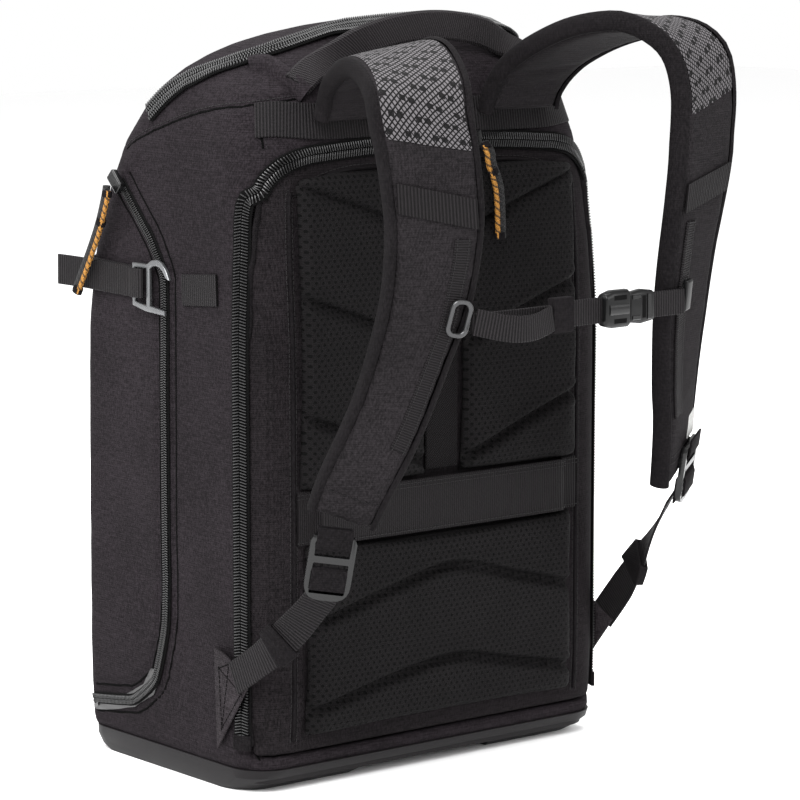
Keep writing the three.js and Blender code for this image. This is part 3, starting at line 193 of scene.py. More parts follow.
# Shoulder straps from the yoke to the lower end: middle line, outward direction and width, in millimetres
STRAPS: dict[str, Rows] = {
    "left": [
        (-71, -100.5, 446.4, 0, 0.93, 0.37, 61.9), (-70.7, -103, 453.9, -0.01, 0.94, 0.34, 61.9),
        (-71.4, -106.8, 460.8, -0.04, 0.83, 0.56, 62.3), (-74.3, -114.8, 470.2, -0.07, 0.7, 0.71, 63.5),
        (-78.2, -125.8, 477.9, -0.1, 0.49, 0.87, 64.7), (-83.2, -140.3, 484.2, -0.13, 0.39, 0.91, 66),
        (-89, -154.6, 488.4, -0.15, 0.27, 0.95, 66.6), (-94.7, -168.8, 490.2, -0.16, 0.11, 0.98, 67.2),
        (-100.1, -182.7, 489.7, -0.18, -0.07, 0.98, 67.8), (-105.1, -195.2, 486.3, -0.2, -0.3, 0.93, 67.6),
        (-109.7, -207.1, 480.3, -0.2, -0.44, 0.88, 67), (-114.1, -216.7, 473.7, -0.21, -0.57, 0.8, 66.4),
        (-117.4, -223, 466.7, -0.23, -0.78, 0.59, 65.8), (-119.4, -227, 458.7, -0.26, -0.88, 0.4, 65.2),
        (-119.7, -230.1, 449.7, -0.28, -0.94, 0.22, 64.6),
        (-118.6, -232.1, 439.4, -0.28, -0.95, 0.11, 63.9),
        (-116.9, -233.1, 427.3, -0.28, -0.96, -0.01, 63.5),
        (-114.9, -233.3, 413.1, -0.29, -0.96, -0.04, 62.9),
        (-112.5, -232.8, 396.5, -0.3, -0.95, -0.1, 61.9),
        (-111.1, -230.8, 379.2, -0.31, -0.94, -0.17, 60.5),
        (-110.6, -227.5, 361.2, -0.32, -0.93, -0.18, 58.8),
        (-111, -224.4, 345.8, -0.32, -0.93, -0.19, 57.1), (-112.7, -220.2, 328.8, -0.32, -0.92, -0.2, 55),
        (-116.3, -214.2, 308, -0.33, -0.92, -0.21, 51.7),
        (-119.9, -208.6, 288.5, -0.36, -0.91, -0.19, 49.7), (-123.9, -203.1, 270, -0.4, -0.9, -0.19, 48.3),
        (-128.9, -197.4, 252.4, -0.45, -0.88, -0.17, 47.5),
        (-133.6, -191.4, 236.7, -0.48, -0.85, -0.21, 46.6),
        (-137.5, -185.5, 222.7, -0.51, -0.83, -0.22, 45.8),
        (-140.3, -180.7, 210.3, -0.53, -0.83, -0.2, 44.5),
        (-142.5, -176.7, 199.1, -0.54, -0.82, -0.19, 42.8),
    ],
    "right": [
        (71, -100.6, 447.7, 0, 0.95, 0.32, 61.9), (70.8, -103.1, 456.4, 0, 0.95, 0.3, 61.9),
        (71.5, -107.1, 464.6, 0, 0.85, 0.53, 62.3), (74, -115.6, 475.8, 0, 0.73, 0.68, 63.5),
        (77.5, -128.2, 486, 0.01, 0.54, 0.84, 64.7), (81.8, -144.9, 495, 0.02, 0.44, 0.9, 66),
        (86.4, -160.9, 501.6, 0.04, 0.33, 0.94, 66.6), (91.5, -177, 505.9, 0.05, 0.22, 0.97, 67.2),
        (97.3, -192.1, 507.9, 0.08, 0.04, 1, 67.8), (103.6, -204.9, 505.8, 0.12, -0.24, 0.96, 67.6),
        (109.9, -215.7, 500.5, 0.17, -0.51, 0.84, 67), (115, -222.9, 493.1, 0.2, -0.74, 0.64, 66.4),
        (118.6, -227.5, 483.9, 0.24, -0.92, 0.33, 65.8), (120.4, -229.7, 471.1, 0.27, -0.95, 0.13, 65.2),
        (120.3, -231.2, 456.2, 0.28, -0.96, 0.04, 64.6), (118.6, -232, 439.9, 0.29, -0.96, 0.03, 63.9),
        (116.9, -232.9, 426.9, 0.28, -0.96, 0.02, 63.5),
    ],
}


# The main zip and the straps' lower parts are the same on both sides
ROUTES["main_zip"] += carried_over(ROUTES["main_zip"][-2::-1])
for band in ("strap_rail", "strap_cross_band"):
    ROUTES[band + "_right"] = carried_over(ROUTES[band + "_left"])
STRAPS["right"] += carried_over(STRAPS["left"][len(STRAPS["right"]):])


class Lay(Enum):
    """Which way the ribs of a webbing or twill run."""

    STRAIGHT = (1.0, 0.0)
    DIAGONAL = (1.0, 0.9)
    STEEP = (1.0, 0.45)
    ACROSS = (0.0, 1.0)


class Wire:
    """A shader socket that takes part in Python arithmetic."""

    def __init__(self, dyer: "Dyer", socket: bpy.types.NodeSocket) -> None:
        """Hold the socket and the dyer whose nodes carry out the sums."""
        self.dyer, self.socket = dyer, socket

    def _sum(self, kind: str, left: object, right: object) -> "Wire":
        """Add one Math node and return its result."""
        return self.dyer.node("ShaderNodeMath", {"operation": kind}, {0: left, 1: right})

    def __add__(self, other: object) -> "Wire":
        """Sum."""
        return self._sum("ADD", self, other)

    def __sub__(self, other: object) -> "Wire":
        """Difference."""
        return self._sum("SUBTRACT", self, other)

    def __rsub__(self, other: object) -> "Wire":
        """Difference with the value first."""
        return self._sum("SUBTRACT", other, self)

    def __mul__(self, other: object) -> "Wire":
        """Product."""
        return self._sum("MULTIPLY", self, other)

    def __truediv__(self, other: object) -> "Wire":
        """Quotient."""
        return self._sum("DIVIDE", self, other)

    def __pow__(self, other: object) -> "Wire":
        """Power."""
        return self._sum("POWER", self, other)

    def __gt__(self, other: object) -> "Wire":
        """One where this is greater, else nought."""
        return self._sum("GREATER_THAN", self, other)

    def __lt__(self, other: object) -> "Wire":
        """One where this is less, else nought."""
        return self._sum("LESS_THAN", self, other)

    def wave(self) -> "Wire":
        """Sine of this, brought to nought to one."""
        return self._sum("SINE", self, 0.0) * 0.5 + 0.5

    def part(self) -> "Wire":
        """Fraction after the whole number."""
        return self._sum("FRACT", self, 0.0)

    def whole(self) -> "Wire":
        """Whole number below."""
        return self._sum("FLOOR", self, 0.0)

    def size(self) -> "Wire":
        """Value without its sign."""
        return self._sum("ABSOLUTE", self, 0.0)

    def least(self, other: object) -> "Wire":
        """The smaller of the two."""
        return self._sum("MINIMUM", self, other)

    def most(self, other: object) -> "Wire":
        """The larger of the two."""
        return self._sum("MAXIMUM", self, other)


class Dyer:
    """Builds one procedural material: its nodes, its colours and its relief."""

    def __init__(self, name: str) -> None:
        """Start an empty material with a Principled shader."""
        self.material = bpy.data.materials.new(name)
        self.material.use_nodes = True
        self.tree = self.material.node_tree
        self.shader = next(n for n in self.tree.nodes if n.type == "BSDF_PRINCIPLED")

    def node(self, kind: str, settings: dict[str, object], inputs: dict[object, object], out: object = 0) -> Wire:
        """Add a node.

        Args:
            kind: Node type.
            settings: Attributes, set before the sockets.
            inputs: Value or wire for each named or numbered socket.
            out: Which output is wanted.

        Returns:
            The wanted output.
        """
        made = self.tree.nodes.new(kind)
        for key, value in settings.items():
            setattr(made, key, value)
        for key, value in inputs.items():
            self.plug(made.inputs[key], value)
        return Wire(self, made.outputs[out])

    def plug(self, socket: bpy.types.NodeSocket, value: object) -> None:
        """Link a wire to a socket, or set the socket's value."""
        if isinstance(value, Wire):
            self.tree.links.new(value.socket, socket)
        else:
            socket.default_value = value

    def places(self, source: str = "Object") -> tuple[Wire, Wire, Wire, Wire]:
        """Coordinates of the surface.

        Args:
            source: Object for the frame's metres, UV for metres along and across a strip.

        Returns:
            The vector and its three parts.
        """
        vector = self.node("ShaderNodeTexCoord", {}, {}, source)
        split = self.node("ShaderNodeSeparateXYZ", {}, {0: vector})
        outputs = split.socket.node.outputs
        return vector, *[Wire(self, outputs[k]) for k in range(3)]

    def vector(self, x: object, y: object, z: object) -> Wire:
        """Join three values to a vector."""
        return self.node("ShaderNodeCombineXYZ", {}, {0: x, 1: y, 2: z})

    def grain(self, vector: Wire, scale: float, detail: float = 2.0, rough: float = 0.5) -> Wire:
        """Noise from nought to one at a scale per metre."""
        return self.node("ShaderNodeTexNoise", {}, {"Vector": vector, "Scale": scale, "Detail": detail,
                                                    "Roughness": rough})

    def blend(self, share: Wire, low: Colour, high: Colour) -> Wire:
        """Mix two colours by a share."""
        mix = self.tree.nodes.new("ShaderNodeMix")
        mix.data_type = "RGBA"
        self.plug(mix.inputs[0], share)
        for socket, colour in ((mix.inputs[6], low), (mix.inputs[7], high)):
            self.plug(socket, colour if isinstance(colour, Wire) else (*colour, 1.0))
        return Wire(self, mix.outputs[2])

    def finish(self, colour: object, roughness: object, height: Optional[Wire] = None, depth: float = 0.3,
               distance: float = 0.0004, **sockets: float) -> bpy.types.Material:
        """Wire up the shader.

        Args:
            colour: Base colour, as numbers or a wire.
            roughness: Roughness, as a number or a wire.
            height: Relief for the bump.
            depth: Strength of the bump.
            distance: Height of the relief in metres.
            sockets: Other shader values that are the same all over.

        Returns:
            The material.
        """
        self.plug(self.shader.inputs["Base Color"], colour if isinstance(colour, Wire) else (*colour, 1.0))
        self.plug(self.shader.inputs["Roughness"], roughness)
        if height is not None:
            normal = self.node("ShaderNodeBump", {}, {"Strength": depth, "Distance": distance, "Height": height})
            self.plug(self.shader.inputs["Normal"], normal)
        for key, value in sockets.items():
            self.shader.inputs[key.replace("_", " ")].default_value = value
        return self.material


@dataclass(frozen=True)
class Cloth:
    """Plain woven polyester with level slubs and a faint mottle."""

    name: str
    dark: Colour
    light: Colour
    slub: float = 1.0
    relief: float = 0.5
    gloss: float = 0.05
    slub_scale: tuple[float, float] = (110.0, 1150.0)
    thread_scale: tuple[float, float] = (900.0, 420.0)

    def material(self) -> bpy.types.Material:
        """Dye the cloth and return its material."""
        dyer = Dyer(self.name)
        place, x, y, z = dyer.places()
        level, up = self.slub_scale
        streaks = dyer.grain(dyer.vector(x * level, y * level, z * up), 1.0, 3.0, 0.65)
        level, up = self.thread_scale
        threads = dyer.grain(dyer.vector(x * level, y * level, z * up), 1.0, 1.0, 0.5)
        mottle = dyer.grain(place, 14.0, 3.0, 0.6)
        weave = (z * WEAVE).wave() * ((x + y) * WEAVE).wave()
        share = (streaks - 0.5) * (1.5 * self.slub) + (threads - 0.5) * 1.6 + (mottle - 0.5) * 0.8 + weave * 0.35 + 0.26
        height = streaks * 0.8 + threads * 0.5 + weave * 0.4
        colour = dyer.blend(share.least(1.0).most(0.0), self.dark, self.light)
        return dyer.finish(colour, mottle * 0.12 + 0.8, height, self.relief, Specular_IOR_Level=self.gloss)


@dataclass(frozen=True)
class Foam:
    """Mesh-faced foam with a staggered grid of punched dots."""

    name: str
    dark: Colour
    light: Colour
    across: float = 5.0
    up: float = 3.4
    hole: float = 0.24
    soft_edge: float = 12.0

    def material(self) -> bpy.types.Material:
        """Dye the foam and return its material."""
        dyer = Dyer(self.name)
        place, x, _, z = dyer.places()
        row = z / (self.up * MM)
        step = row.whole() * 0.5
        u = (x / (self.across * MM) + step).part() - 0.5
        v = row.part() - 0.5
        far = (u * u * (self.across / self.up) ** 2 + v * v) ** 0.5
        hole = (1.0 - (far - self.hole) * self.soft_edge).least(1.0).most(0.0)
        knit = (x * WEAVE).wave() * (z * WEAVE).wave()
        mottle = dyer.grain(place, 30.0, 3.0, 0.6)
        share = (mottle * 0.5 + knit * 0.25 + 0.35) * (1.0 - hole)
        height = knit * 0.25 - hole
        return dyer.finish(dyer.blend(share, self.dark, self.light), 0.82, height, 0.9, 0.0012, Specular_IOR_Level=0.08)


@dataclass(frozen=True)
class Webbing:
    """Woven webbing, ribbed across its length; reads the strip's own coordinates."""

    name: str
    dark: Colour
    light: Colour
    rib: float = 2.2
    lay: Lay = Lay.STRAIGHT
    rough: float = 0.62
    warp: float = 0.9

    def material(self) -> bpy.types.Material:
        """Dye the webbing and return its material."""
        dyer = Dyer(self.name)
        _, u, v, _ = dyer.places("UV")
        turn = math.tau / (self.rib * MM)
        along, over = self.lay.value
        ribs = ((u * along + v * over) * turn).wave()
        warp = (v * (math.tau / (self.warp * MM))).wave()
        wear = dyer.grain(dyer.vector(u * 300, v * 900, 0.0), 1.0, 2.0, 0.6)
        share = ribs * 0.75 + warp * 0.2 + wear * 0.4 - 0.3
        height = ribs * 0.8 + warp * 0.25
        return dyer.finish(dyer.blend(share, self.dark, self.light), self.rough, height, 0.85, 0.0007,
                           Specular_IOR_Level=0.08)


@dataclass(frozen=True)
class Mesh:
    """Open knit mesh over the top of the shoulder straps: pale lozenges and rows of dark slot pairs."""

    name: str
    dark: Colour
    light: Colour
    along: float = 4.0
    across: float = 3.7
    slot_rows: float = 9.6
    slot_pairs: float = 17.5

    def material(self) -> bpy.types.Material:
        """Dye the mesh and return its material."""
        dyer = Dyer(self.name)
        place, u, v, _ = dyer.places("UV")
        row = u / (self.along * MM)
        a = (row + v / (self.across * MM)).part() - 0.5
        b = (row - v / (self.across * MM)).part() - 0.5
        far = a.size().most(b.size())
        lozenge = (1.0 - (far - 0.3) * 9.0).least(1.0).most(0.0)
        line = u / (self.slot_rows * MM)
        bar = (line.part() - 0.5).size()
        pair = ((v / (self.slot_pairs * MM) + line.whole() * 0.5).part() - 0.5).size()
        slot = (bar < 0.17) * (pair < 0.27) * (pair > 0.05)
        thread = dyer.grain(place, 2500.0, 2.0, 0.6)
        share = lozenge * (1.0 - slot * 0.95) * (thread * 0.5 + 0.7)
        height = lozenge * (1.0 - slot)
        return dyer.finish(dyer.blend(share, self.dark, self.light), 0.7, height, 0.8, 0.0008, Specular_IOR_Level=0.08)


@dataclass(frozen=True)
class Moulded:
    """Moulded plastic or rubber with a fine grain and paler scuffed patches."""

    name: str
    dark: Colour
    light: Colour
    rough: float = 0.45
    grain: float = 900.0
    relief: float = 0.12
    coat: float = 0.0
    metallic: float = 0.0
    gloss: float = 0.4

    def material(self) -> bpy.types.Material:
        """Mix the plastic and return its material."""
        dyer = Dyer(self.name)
        place, *_ = dyer.places()
        fine = dyer.grain(place, self.grain, 3.0, 0.6)
        wide = dyer.grain(place, 40.0, 4.0, 0.6)
        colour = dyer.blend(wide * 0.7 + fine * 0.3, self.dark, self.light)
        return dyer.finish(colour, wide * 0.14 + self.rough - 0.07, fine, self.relief, 0.0003,
                           Coat_Weight=self.coat, Metallic=self.metallic, Specular_IOR_Level=self.gloss)


@dataclass(frozen=True)
class Braid:
    """Braided cord in two colours; reads the cord's own coordinates."""

    name: str
    main: Colour
    fleck: Colour
    flecks: float = 0.3
    lay: float = 2.6
    turn: float = 3.6

    def material(self) -> bpy.types.Material:
        """Dye the cord and return its material."""
        dyer = Dyer(self.name)
        _, u, v, _ = dyer.places("UV")
        left = ((u / self.lay + v / self.turn) * (math.tau / MM)).wave()
        right = ((u / self.lay - v / self.turn) * (math.tau / MM)).wave()
        tracer = ((u / (2 * self.lay) + v / (2 * self.turn)) / MM).part() < self.flecks
        colour = dyer.blend(tracer, self.main, self.fleck)
        return dyer.finish(colour, 0.75, left.most(right), 0.9, 0.0008, Specular_IOR_Level=0.3)


class Bench:
    """The maker's bench: small modelling jobs shared by every sub-assembly."""

    @staticmethod
    def clear() -> None:
        """Leave edit mode and deselect everything."""
        if bpy.context.object and bpy.context.object.mode != "OBJECT":
            bpy.ops.object.mode_set(mode="OBJECT")
        bpy.ops.object.select_all(action="DESELECT")

    @staticmethod
    def take(piece: bpy.types.Object) -> bpy.types.Object:
        """Make one piece the only selected and the active one."""
        Bench.clear()
        piece.select_set(True)
        bpy.context.view_layer.objects.active = piece
        return piece

    @staticmethod
    def apply(piece: bpy.types.Object, kind: str, **settings: object) -> None:
        """Add a modifier with its settings and apply it."""
        Bench.take(piece)
        modifier = piece.modifiers.new(kind.lower(), kind)
        for key, value in settings.items():
            setattr(modifier, key, value)
        bpy.ops.object.modifier_apply(modifier=modifier.name)

    @staticmethod
    def settle(piece: bpy.types.Object) -> None:
        """Put the piece's place, turn and scale into its mesh."""
        Bench.take(piece)
        bpy.ops.object.transform_apply(location=True, rotation=True, scale=True)

    @staticmethod
    def dress(piece: bpy.types.Object, name: str, material: bpy.types.Material, slot: str,
              nodes: Sequence[str] = (), angle: float = 40.0) -> bpy.types.Object:
        """Name a finished piece, give it its material and tie it to the frame.

        Args:
            piece: The finished mesh.
            name: Its name.
            material: Its finish.
            slot: A material slot's name; not used.
            nodes: CAD nodes that it stands for.
            angle: Edges sharper than this stay sharp, in degrees.

        Returns:
            The piece.
        """
        Bench.take(piece)
        piece.name = piece.data.name = name
        piece.data.materials.clear()
        piece.data.materials.append(material)
        bpy.ops.object.shade_smooth_by_angle(angle=math.radians(angle))
        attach(piece, "root")
        if nodes:
            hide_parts(*nodes)
        LOG.info("%s: %d faces", name, len(piece.data.polygons))
        return piece

    @staticmethod
    def copy(node: str) -> bpy.types.Object:
        """Copy a CAD node's mesh, with its loose triangles merged."""
        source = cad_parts[node]
        piece = bpy.data.objects.new(node + "_copy", source.data.copy())
        bpy.context.scene.collection.objects.link(piece)
        Bench.take(piece)
        bpy.ops.object.mode_set(mode="EDIT")
        bpy.ops.mesh.select_all(action="SELECT")
        bpy.ops.mesh.remove_doubles(threshold=0.00002)
        bpy.ops.object.mode_set(mode="OBJECT")
        return piece

    @staticmethod
    def carry(node: str, name: str, material: bpy.types.Material, slot: str, bevel: float = 0.4,
              segments: int = 2) -> bpy.types.Object:
        """Make a finer piece from a CAD node: its edges rounded by bevel millimetres, its faces smooth."""
        piece = Bench.copy(node)
        Bench.apply(piece, "DECIMATE", decimate_type="DISSOLVE", angle_limit=math.radians(3))
        Bench.apply(piece, "BEVEL", width=bevel * MM, segments=segments, limit_method="ANGLE",
                    angle_limit=math.radians(28), harden_normals=False)
        return Bench.dress(piece, name, material, slot, [node])

    @staticmethod
    def tree(piece: bpy.types.Object) -> BVHTree:
        """Search tree of a finished piece."""
        return BVHTree.FromObject(piece, bpy.context.evaluated_depsgraph_get())

    @staticmethod
    def join(pieces: Sequence[bpy.types.Object]) -> bpy.types.Object:
        """Join several meshes to the first."""
        Bench.clear()
        for piece in pieces:
            piece.select_set(True)
        bpy.context.view_layer.objects.active = pieces[0]
        bpy.ops.object.join()
        return pieces[0]


class Route:
    """A line over the pack with an outward direction at each station."""

    def __init__(self, points: Sequence[Vector], outs: Sequence[Vector],
                 widths: Optional[Sequence[float]] = None) -> None:
        """Hold the stations, in metres."""
        self.points, self.outs = list(points), [o.normalized() for o in outs]
        self.widths = list(widths) if widths else [0.0] * len(self.points)

    @classmethod
    def of(cls, name: str) -> "Route":
        """The route of a band as built."""
        rows = ROUTES[name]
        return cls([spot(*r[:3]) for r in rows], [Vector(r[3:6]) for r in rows])

    def length(self) -> float:
        """Whole length in metres."""
        return sum((b - a).length for a, b in zip(self.points, self.points[1:]))

    def spaced(self, step: float) -> "Route":
        """The same line with smooth, even stations a step apart, in metres."""
        count = max(2, round(self.length() / step) + 1)
        fine: list[tuple[Vector, Vector, float]] = []
        n = len(self.points)
        for k in range(n - 1):
            quad = [max(k - 1, 0), k, k + 1, min(k + 2, n - 1)]
            for j in range(16):
                t = j / 16
                weights = (-t ** 3 + 2 * t * t - t, 3 * t ** 3 - 5 * t * t + 2, -3 * t ** 3 + 4 * t * t + t,
                           t ** 3 - t * t)
                point = sum((self.points[q] * w / 2 for q, w in zip(quad, weights)), Vector())
                out = self.outs[k].lerp(self.outs[k + 1], t)
                fine.append((point, out, self.widths[k] * (1 - t) + self.widths[k + 1] * t))
        fine.append((self.points[-1], self.outs[-1], self.widths[-1]))
        whole = [0.0]
        for a, b in zip(fine, fine[1:]):
            whole.append(whole[-1] + (b[0] - a[0]).length)
        points, outs, widths, k = [], [], [], 0
        for j in range(count):
            goal = whole[-1] * j / (count - 1)
            while k < len(fine) - 2 and whole[k + 1] < goal:
                k += 1
            t = (goal - whole[k]) / max(whole[k + 1] - whole[k], 1e-9)
            points.append(fine[k][0].lerp(fine[k + 1][0], t))
            outs.append(fine[k][1].lerp(fine[k + 1][1], t))
            widths.append(fine[k][2] * (1 - t) + fine[k + 1][2] * t)
        return Route(points, outs, widths)

    def frames(self) -> list[tuple[Vector, Vector, Vector, Vector]]:
        """Point, direction along, direction across and outward direction at each station."""
        rows = []
        for k, (point, out) in enumerate(zip(self.points, self.outs)):
            ahead = (self.points[min(k + 1, len(self.points) - 1)] - self.points[max(k - 1, 0)]).normalized()
            across = out.cross(ahead).normalized()
            rows.append((point, ahead, across, ahead.cross(across).normalized()))
        return rows

    def shifted(self, across: float, out: float = 0.0) -> "Route":
        """The line moved sideways and outwards, in metres."""
        frames = self.frames()
        points = [p + a * across + o * out for p, _, a, o in frames]
        return Route(points, [f[3] for f in frames], self.widths)

    def on(self, tree: BVHTree, lift: float = 0.0) -> "Route":
        """The line laid on the nearest surface, lifted a little, in metres."""
        points, outs = [], []
        for point, out in zip(self.points, self.outs):
            place, normal, _, _ = tree.find_nearest(point)
            if normal.dot(out) < 0 and out.length > 0.1:
                normal = out
            points.append(place + normal * lift)
            outs.append(normal)
        for _ in range(2):
            outs = [(outs[max(k - 1, 0)] + outs[k] * 2 + outs[min(k + 1, len(outs) - 1)]).normalized()
                    for k in range(len(outs))]
        return Route(points, outs, self.widths)

    def mirrored(self, tree: BVHTree) -> "Route":
        """The line carried over to the pack's other side, on the nearest surface."""
        hits = [tree.find_nearest(Vector((2 * ORIGIN.x - p.x, p.y, p.z))) for p in self.points]
        return Route([hit[0] for hit in hits], [hit[1] for hit in hits])

    def cut(self, start: float, end: float) -> "Route":
        """Part of the line, by shares of its stations."""
        n = len(self.points) - 1
        low, high = round(start * n), round(end * n)
        return Route(self.points[low:high + 1], self.outs[low:high + 1], self.widths[low:high + 1])


class Tailor:
    """Lays strips, cords, teeth and stitches along routes."""

    @staticmethod
    def strip(route: Route, profile: Profile, closed: bool = False) -> bpy.types.Object:
        """Lay a grid along a route with a section across it.

        Args:
            route: Where the strip runs.
            profile: Section, as millimetres across and outwards, from one edge to the other.
            closed: Whether the section is a closed ring, whose two ends are filled.

        Returns:
            The strip, with metres along and across as its coordinates.
        """
        Bench.clear()
        rows, columns = len(route.points), len(profile) + (1 if closed else 0)
        bpy.ops.mesh.primitive_grid_add(x_subdivisions=columns - 1, y_subdivisions=rows - 1, size=1.0)
        piece = bpy.context.object
        mesh = piece.data
        order = sorted(range(len(mesh.vertices)), key=lambda i: (round(mesh.vertices[i].co.y, 4),
                                                               round(mesh.vertices[i].co.x, 4)))
        frames = route.frames()
        reach = [0.0]
        for a, b in zip(route.points, route.points[1:]):
            reach.append(reach[-1] + (b - a).length)
        ring = list(profile) + ([profile[0]] if closed else [])
        side = [0.0]
        for a, b in zip(ring, ring[1:]):
            side.append(side[-1] + math.dist(a, b) * MM)
        at = {}
        for count, index in enumerate(order):
            j, k = divmod(count, columns)
            point, _, across, out = frames[j]
            a, o = ring[k]
            scale = route.widths[j] or 1.0
            at[index] = (reach[j], side[k])
            mesh.vertices[index].co = point + across * (a * scale * MM) + out * (o * MM)
        for loop in mesh.loops:
            mesh.uv_layers.active.data[loop.index].uv = at[loop.vertex_index]
        Bench.take(piece)
        if closed:
            bpy.ops.object.mode_set(mode="EDIT")
            bpy.ops.mesh.select_all(action="SELECT")
            bpy.ops.mesh.remove_doubles(threshold=0.000002)
            bpy.ops.mesh.select_all(action="DESELECT")
            bpy.ops.mesh.select_mode(type="EDGE")
            bpy.ops.mesh.select_non_manifold(extend=False)
            bpy.ops.mesh.fill_holes(sides=0)
            bpy.ops.mesh.select_all(action="SELECT")
            bpy.ops.mesh.normals_make_consistent(inside=False)
            bpy.ops.object.mode_set(mode="OBJECT")
        return piece

    @staticmethod
    def band(route: Route, width: float, thick: float, edge: float = 0.35, belly: float = 0.0) -> bpy.types.Object:
        """A flat woven strip with rounded edges, its middle on the route, sizes in millimetres."""
        w, t = width / 2, thick / 2
        e = min(edge, t * 0.9)
        top = [(-w, t - e), (-w + e, t), (-w / 2, t + belly * 0.75), (0, t + belly), (w / 2, t + belly * 0.75),
               (w - e, t), (w, t - e)]
        under = [(a, -min(o, t)) for a, o in reversed(top)]
        return Tailor.strip(route, top + under, closed=True)

    @staticmethod
    def tube(route: Route, radius: float, sides: int = 10, flat: float = 1.0) -> bpy.types.Object:
        """A round cord or wire, its radius in millimetres."""
        ring = [(radius * math.cos(k * math.tau / sides), flat * radius * math.sin(k * math.tau / sides))
                for k in range(sides)]
        return Tailor.strip(route, ring, closed=True)

    @staticmethod
    def repeat(shape: bpy.types.Object, route: Route, lift: float = 0.0, lean: float = 0.0,
               side: float = 0.0) -> bpy.types.Object:
        """Copy one small shape to every station of a route.

        Args:
            shape: The shape, modelled at the origin: X across, Y along, Z outwards. It is used up.
            route: The stations.
            lift: How far outwards, in metres.
            lean: Turn about the outward direction, in radians.
            side: How far sideways, in metres.

        Returns:
            One mesh of all the copies.
        """
        made = bmesh.new()
        for point, ahead, across, out in route.frames():
            basis = Matrix((across, ahead, out)).transposed().to_4x4()
            basis.translation = point + out * lift + across * side
            first = len(made.verts)
            made.from_mesh(shape.data)
            made.verts.ensure_lookup_table()
            bmesh.ops.transform(made, matrix=basis @ Matrix.Rotation(lean, 4, "Z"), verts=made.verts[first:])
        bmesh.ops.recalc_face_normals(made, faces=made.faces)
        mesh = bpy.data.meshes.new("repeat")
        made.to_mesh(mesh)
        made.free()
        bpy.data.objects.remove(shape)
        piece = bpy.data.objects.new("repeat", mesh)
        bpy.context.scene.collection.objects.link(piece)
        return piece

    @staticmethod
    def tooth(width: float, length: float, height: float) -> bpy.types.Object:
        """One coil tooth or stitch: a rounded bar, X across, sizes in millimetres."""
        Bench.clear()
        bpy.ops.mesh.primitive_cylinder_add(vertices=6, radius=0.5, depth=1.0, rotation=(0, math.pi / 2, 0))
        piece = bpy.context.object
        piece.scale = (height * MM, length * MM, width * MM)
        Bench.settle(piece)
        bpy.ops.object.mode_set(mode="EDIT")
        bpy.ops.mesh.select_mode(type="FACE")
        bpy.ops.mesh.select_all(action="DESELECT")
        bpy.ops.object.mode_set(mode="OBJECT")
        for face in piece.data.polygons:
            face.select = abs(face.normal.x) > 0.9
        bpy.ops.object.mode_set(mode="EDIT")
        bpy.ops.mesh.inset(thickness=0.14 * min(length, height) * MM)
        bpy.ops.transform.resize(value=(1.12, 0.9, 0.9))
        bpy.ops.object.mode_set(mode="OBJECT")
        return piece

    @staticmethod
    def stitches(route: Route, pitch: float = 3.2, length: float = 2.2, width: float = 0.55) -> bpy.types.Object:
        """A row of running stitches, sizes in millimetres."""
        shape = Tailor.tooth(length, width, width * 0.8)
        return Tailor.repeat(shape, route.spaced(pitch * MM), lift=0.00008, lean=math.pi / 2)


def origin() -> Vector:
    """The tray's middle on the floor, which the tables count from."""
    low, high = (Vector(c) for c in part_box("base_tray"))
    return Vector(((low.x + high.x) / 2, (low.y + high.y) / 2 - 0.0005, 0.0))


ORIGIN = origin()


def spot(x: float, y: float, z: float) -> Vector:
    """A place in millimetres from the tray's middle, in the frame's metres."""
    return ORIGIN + Vector((x, y, z)) * MM


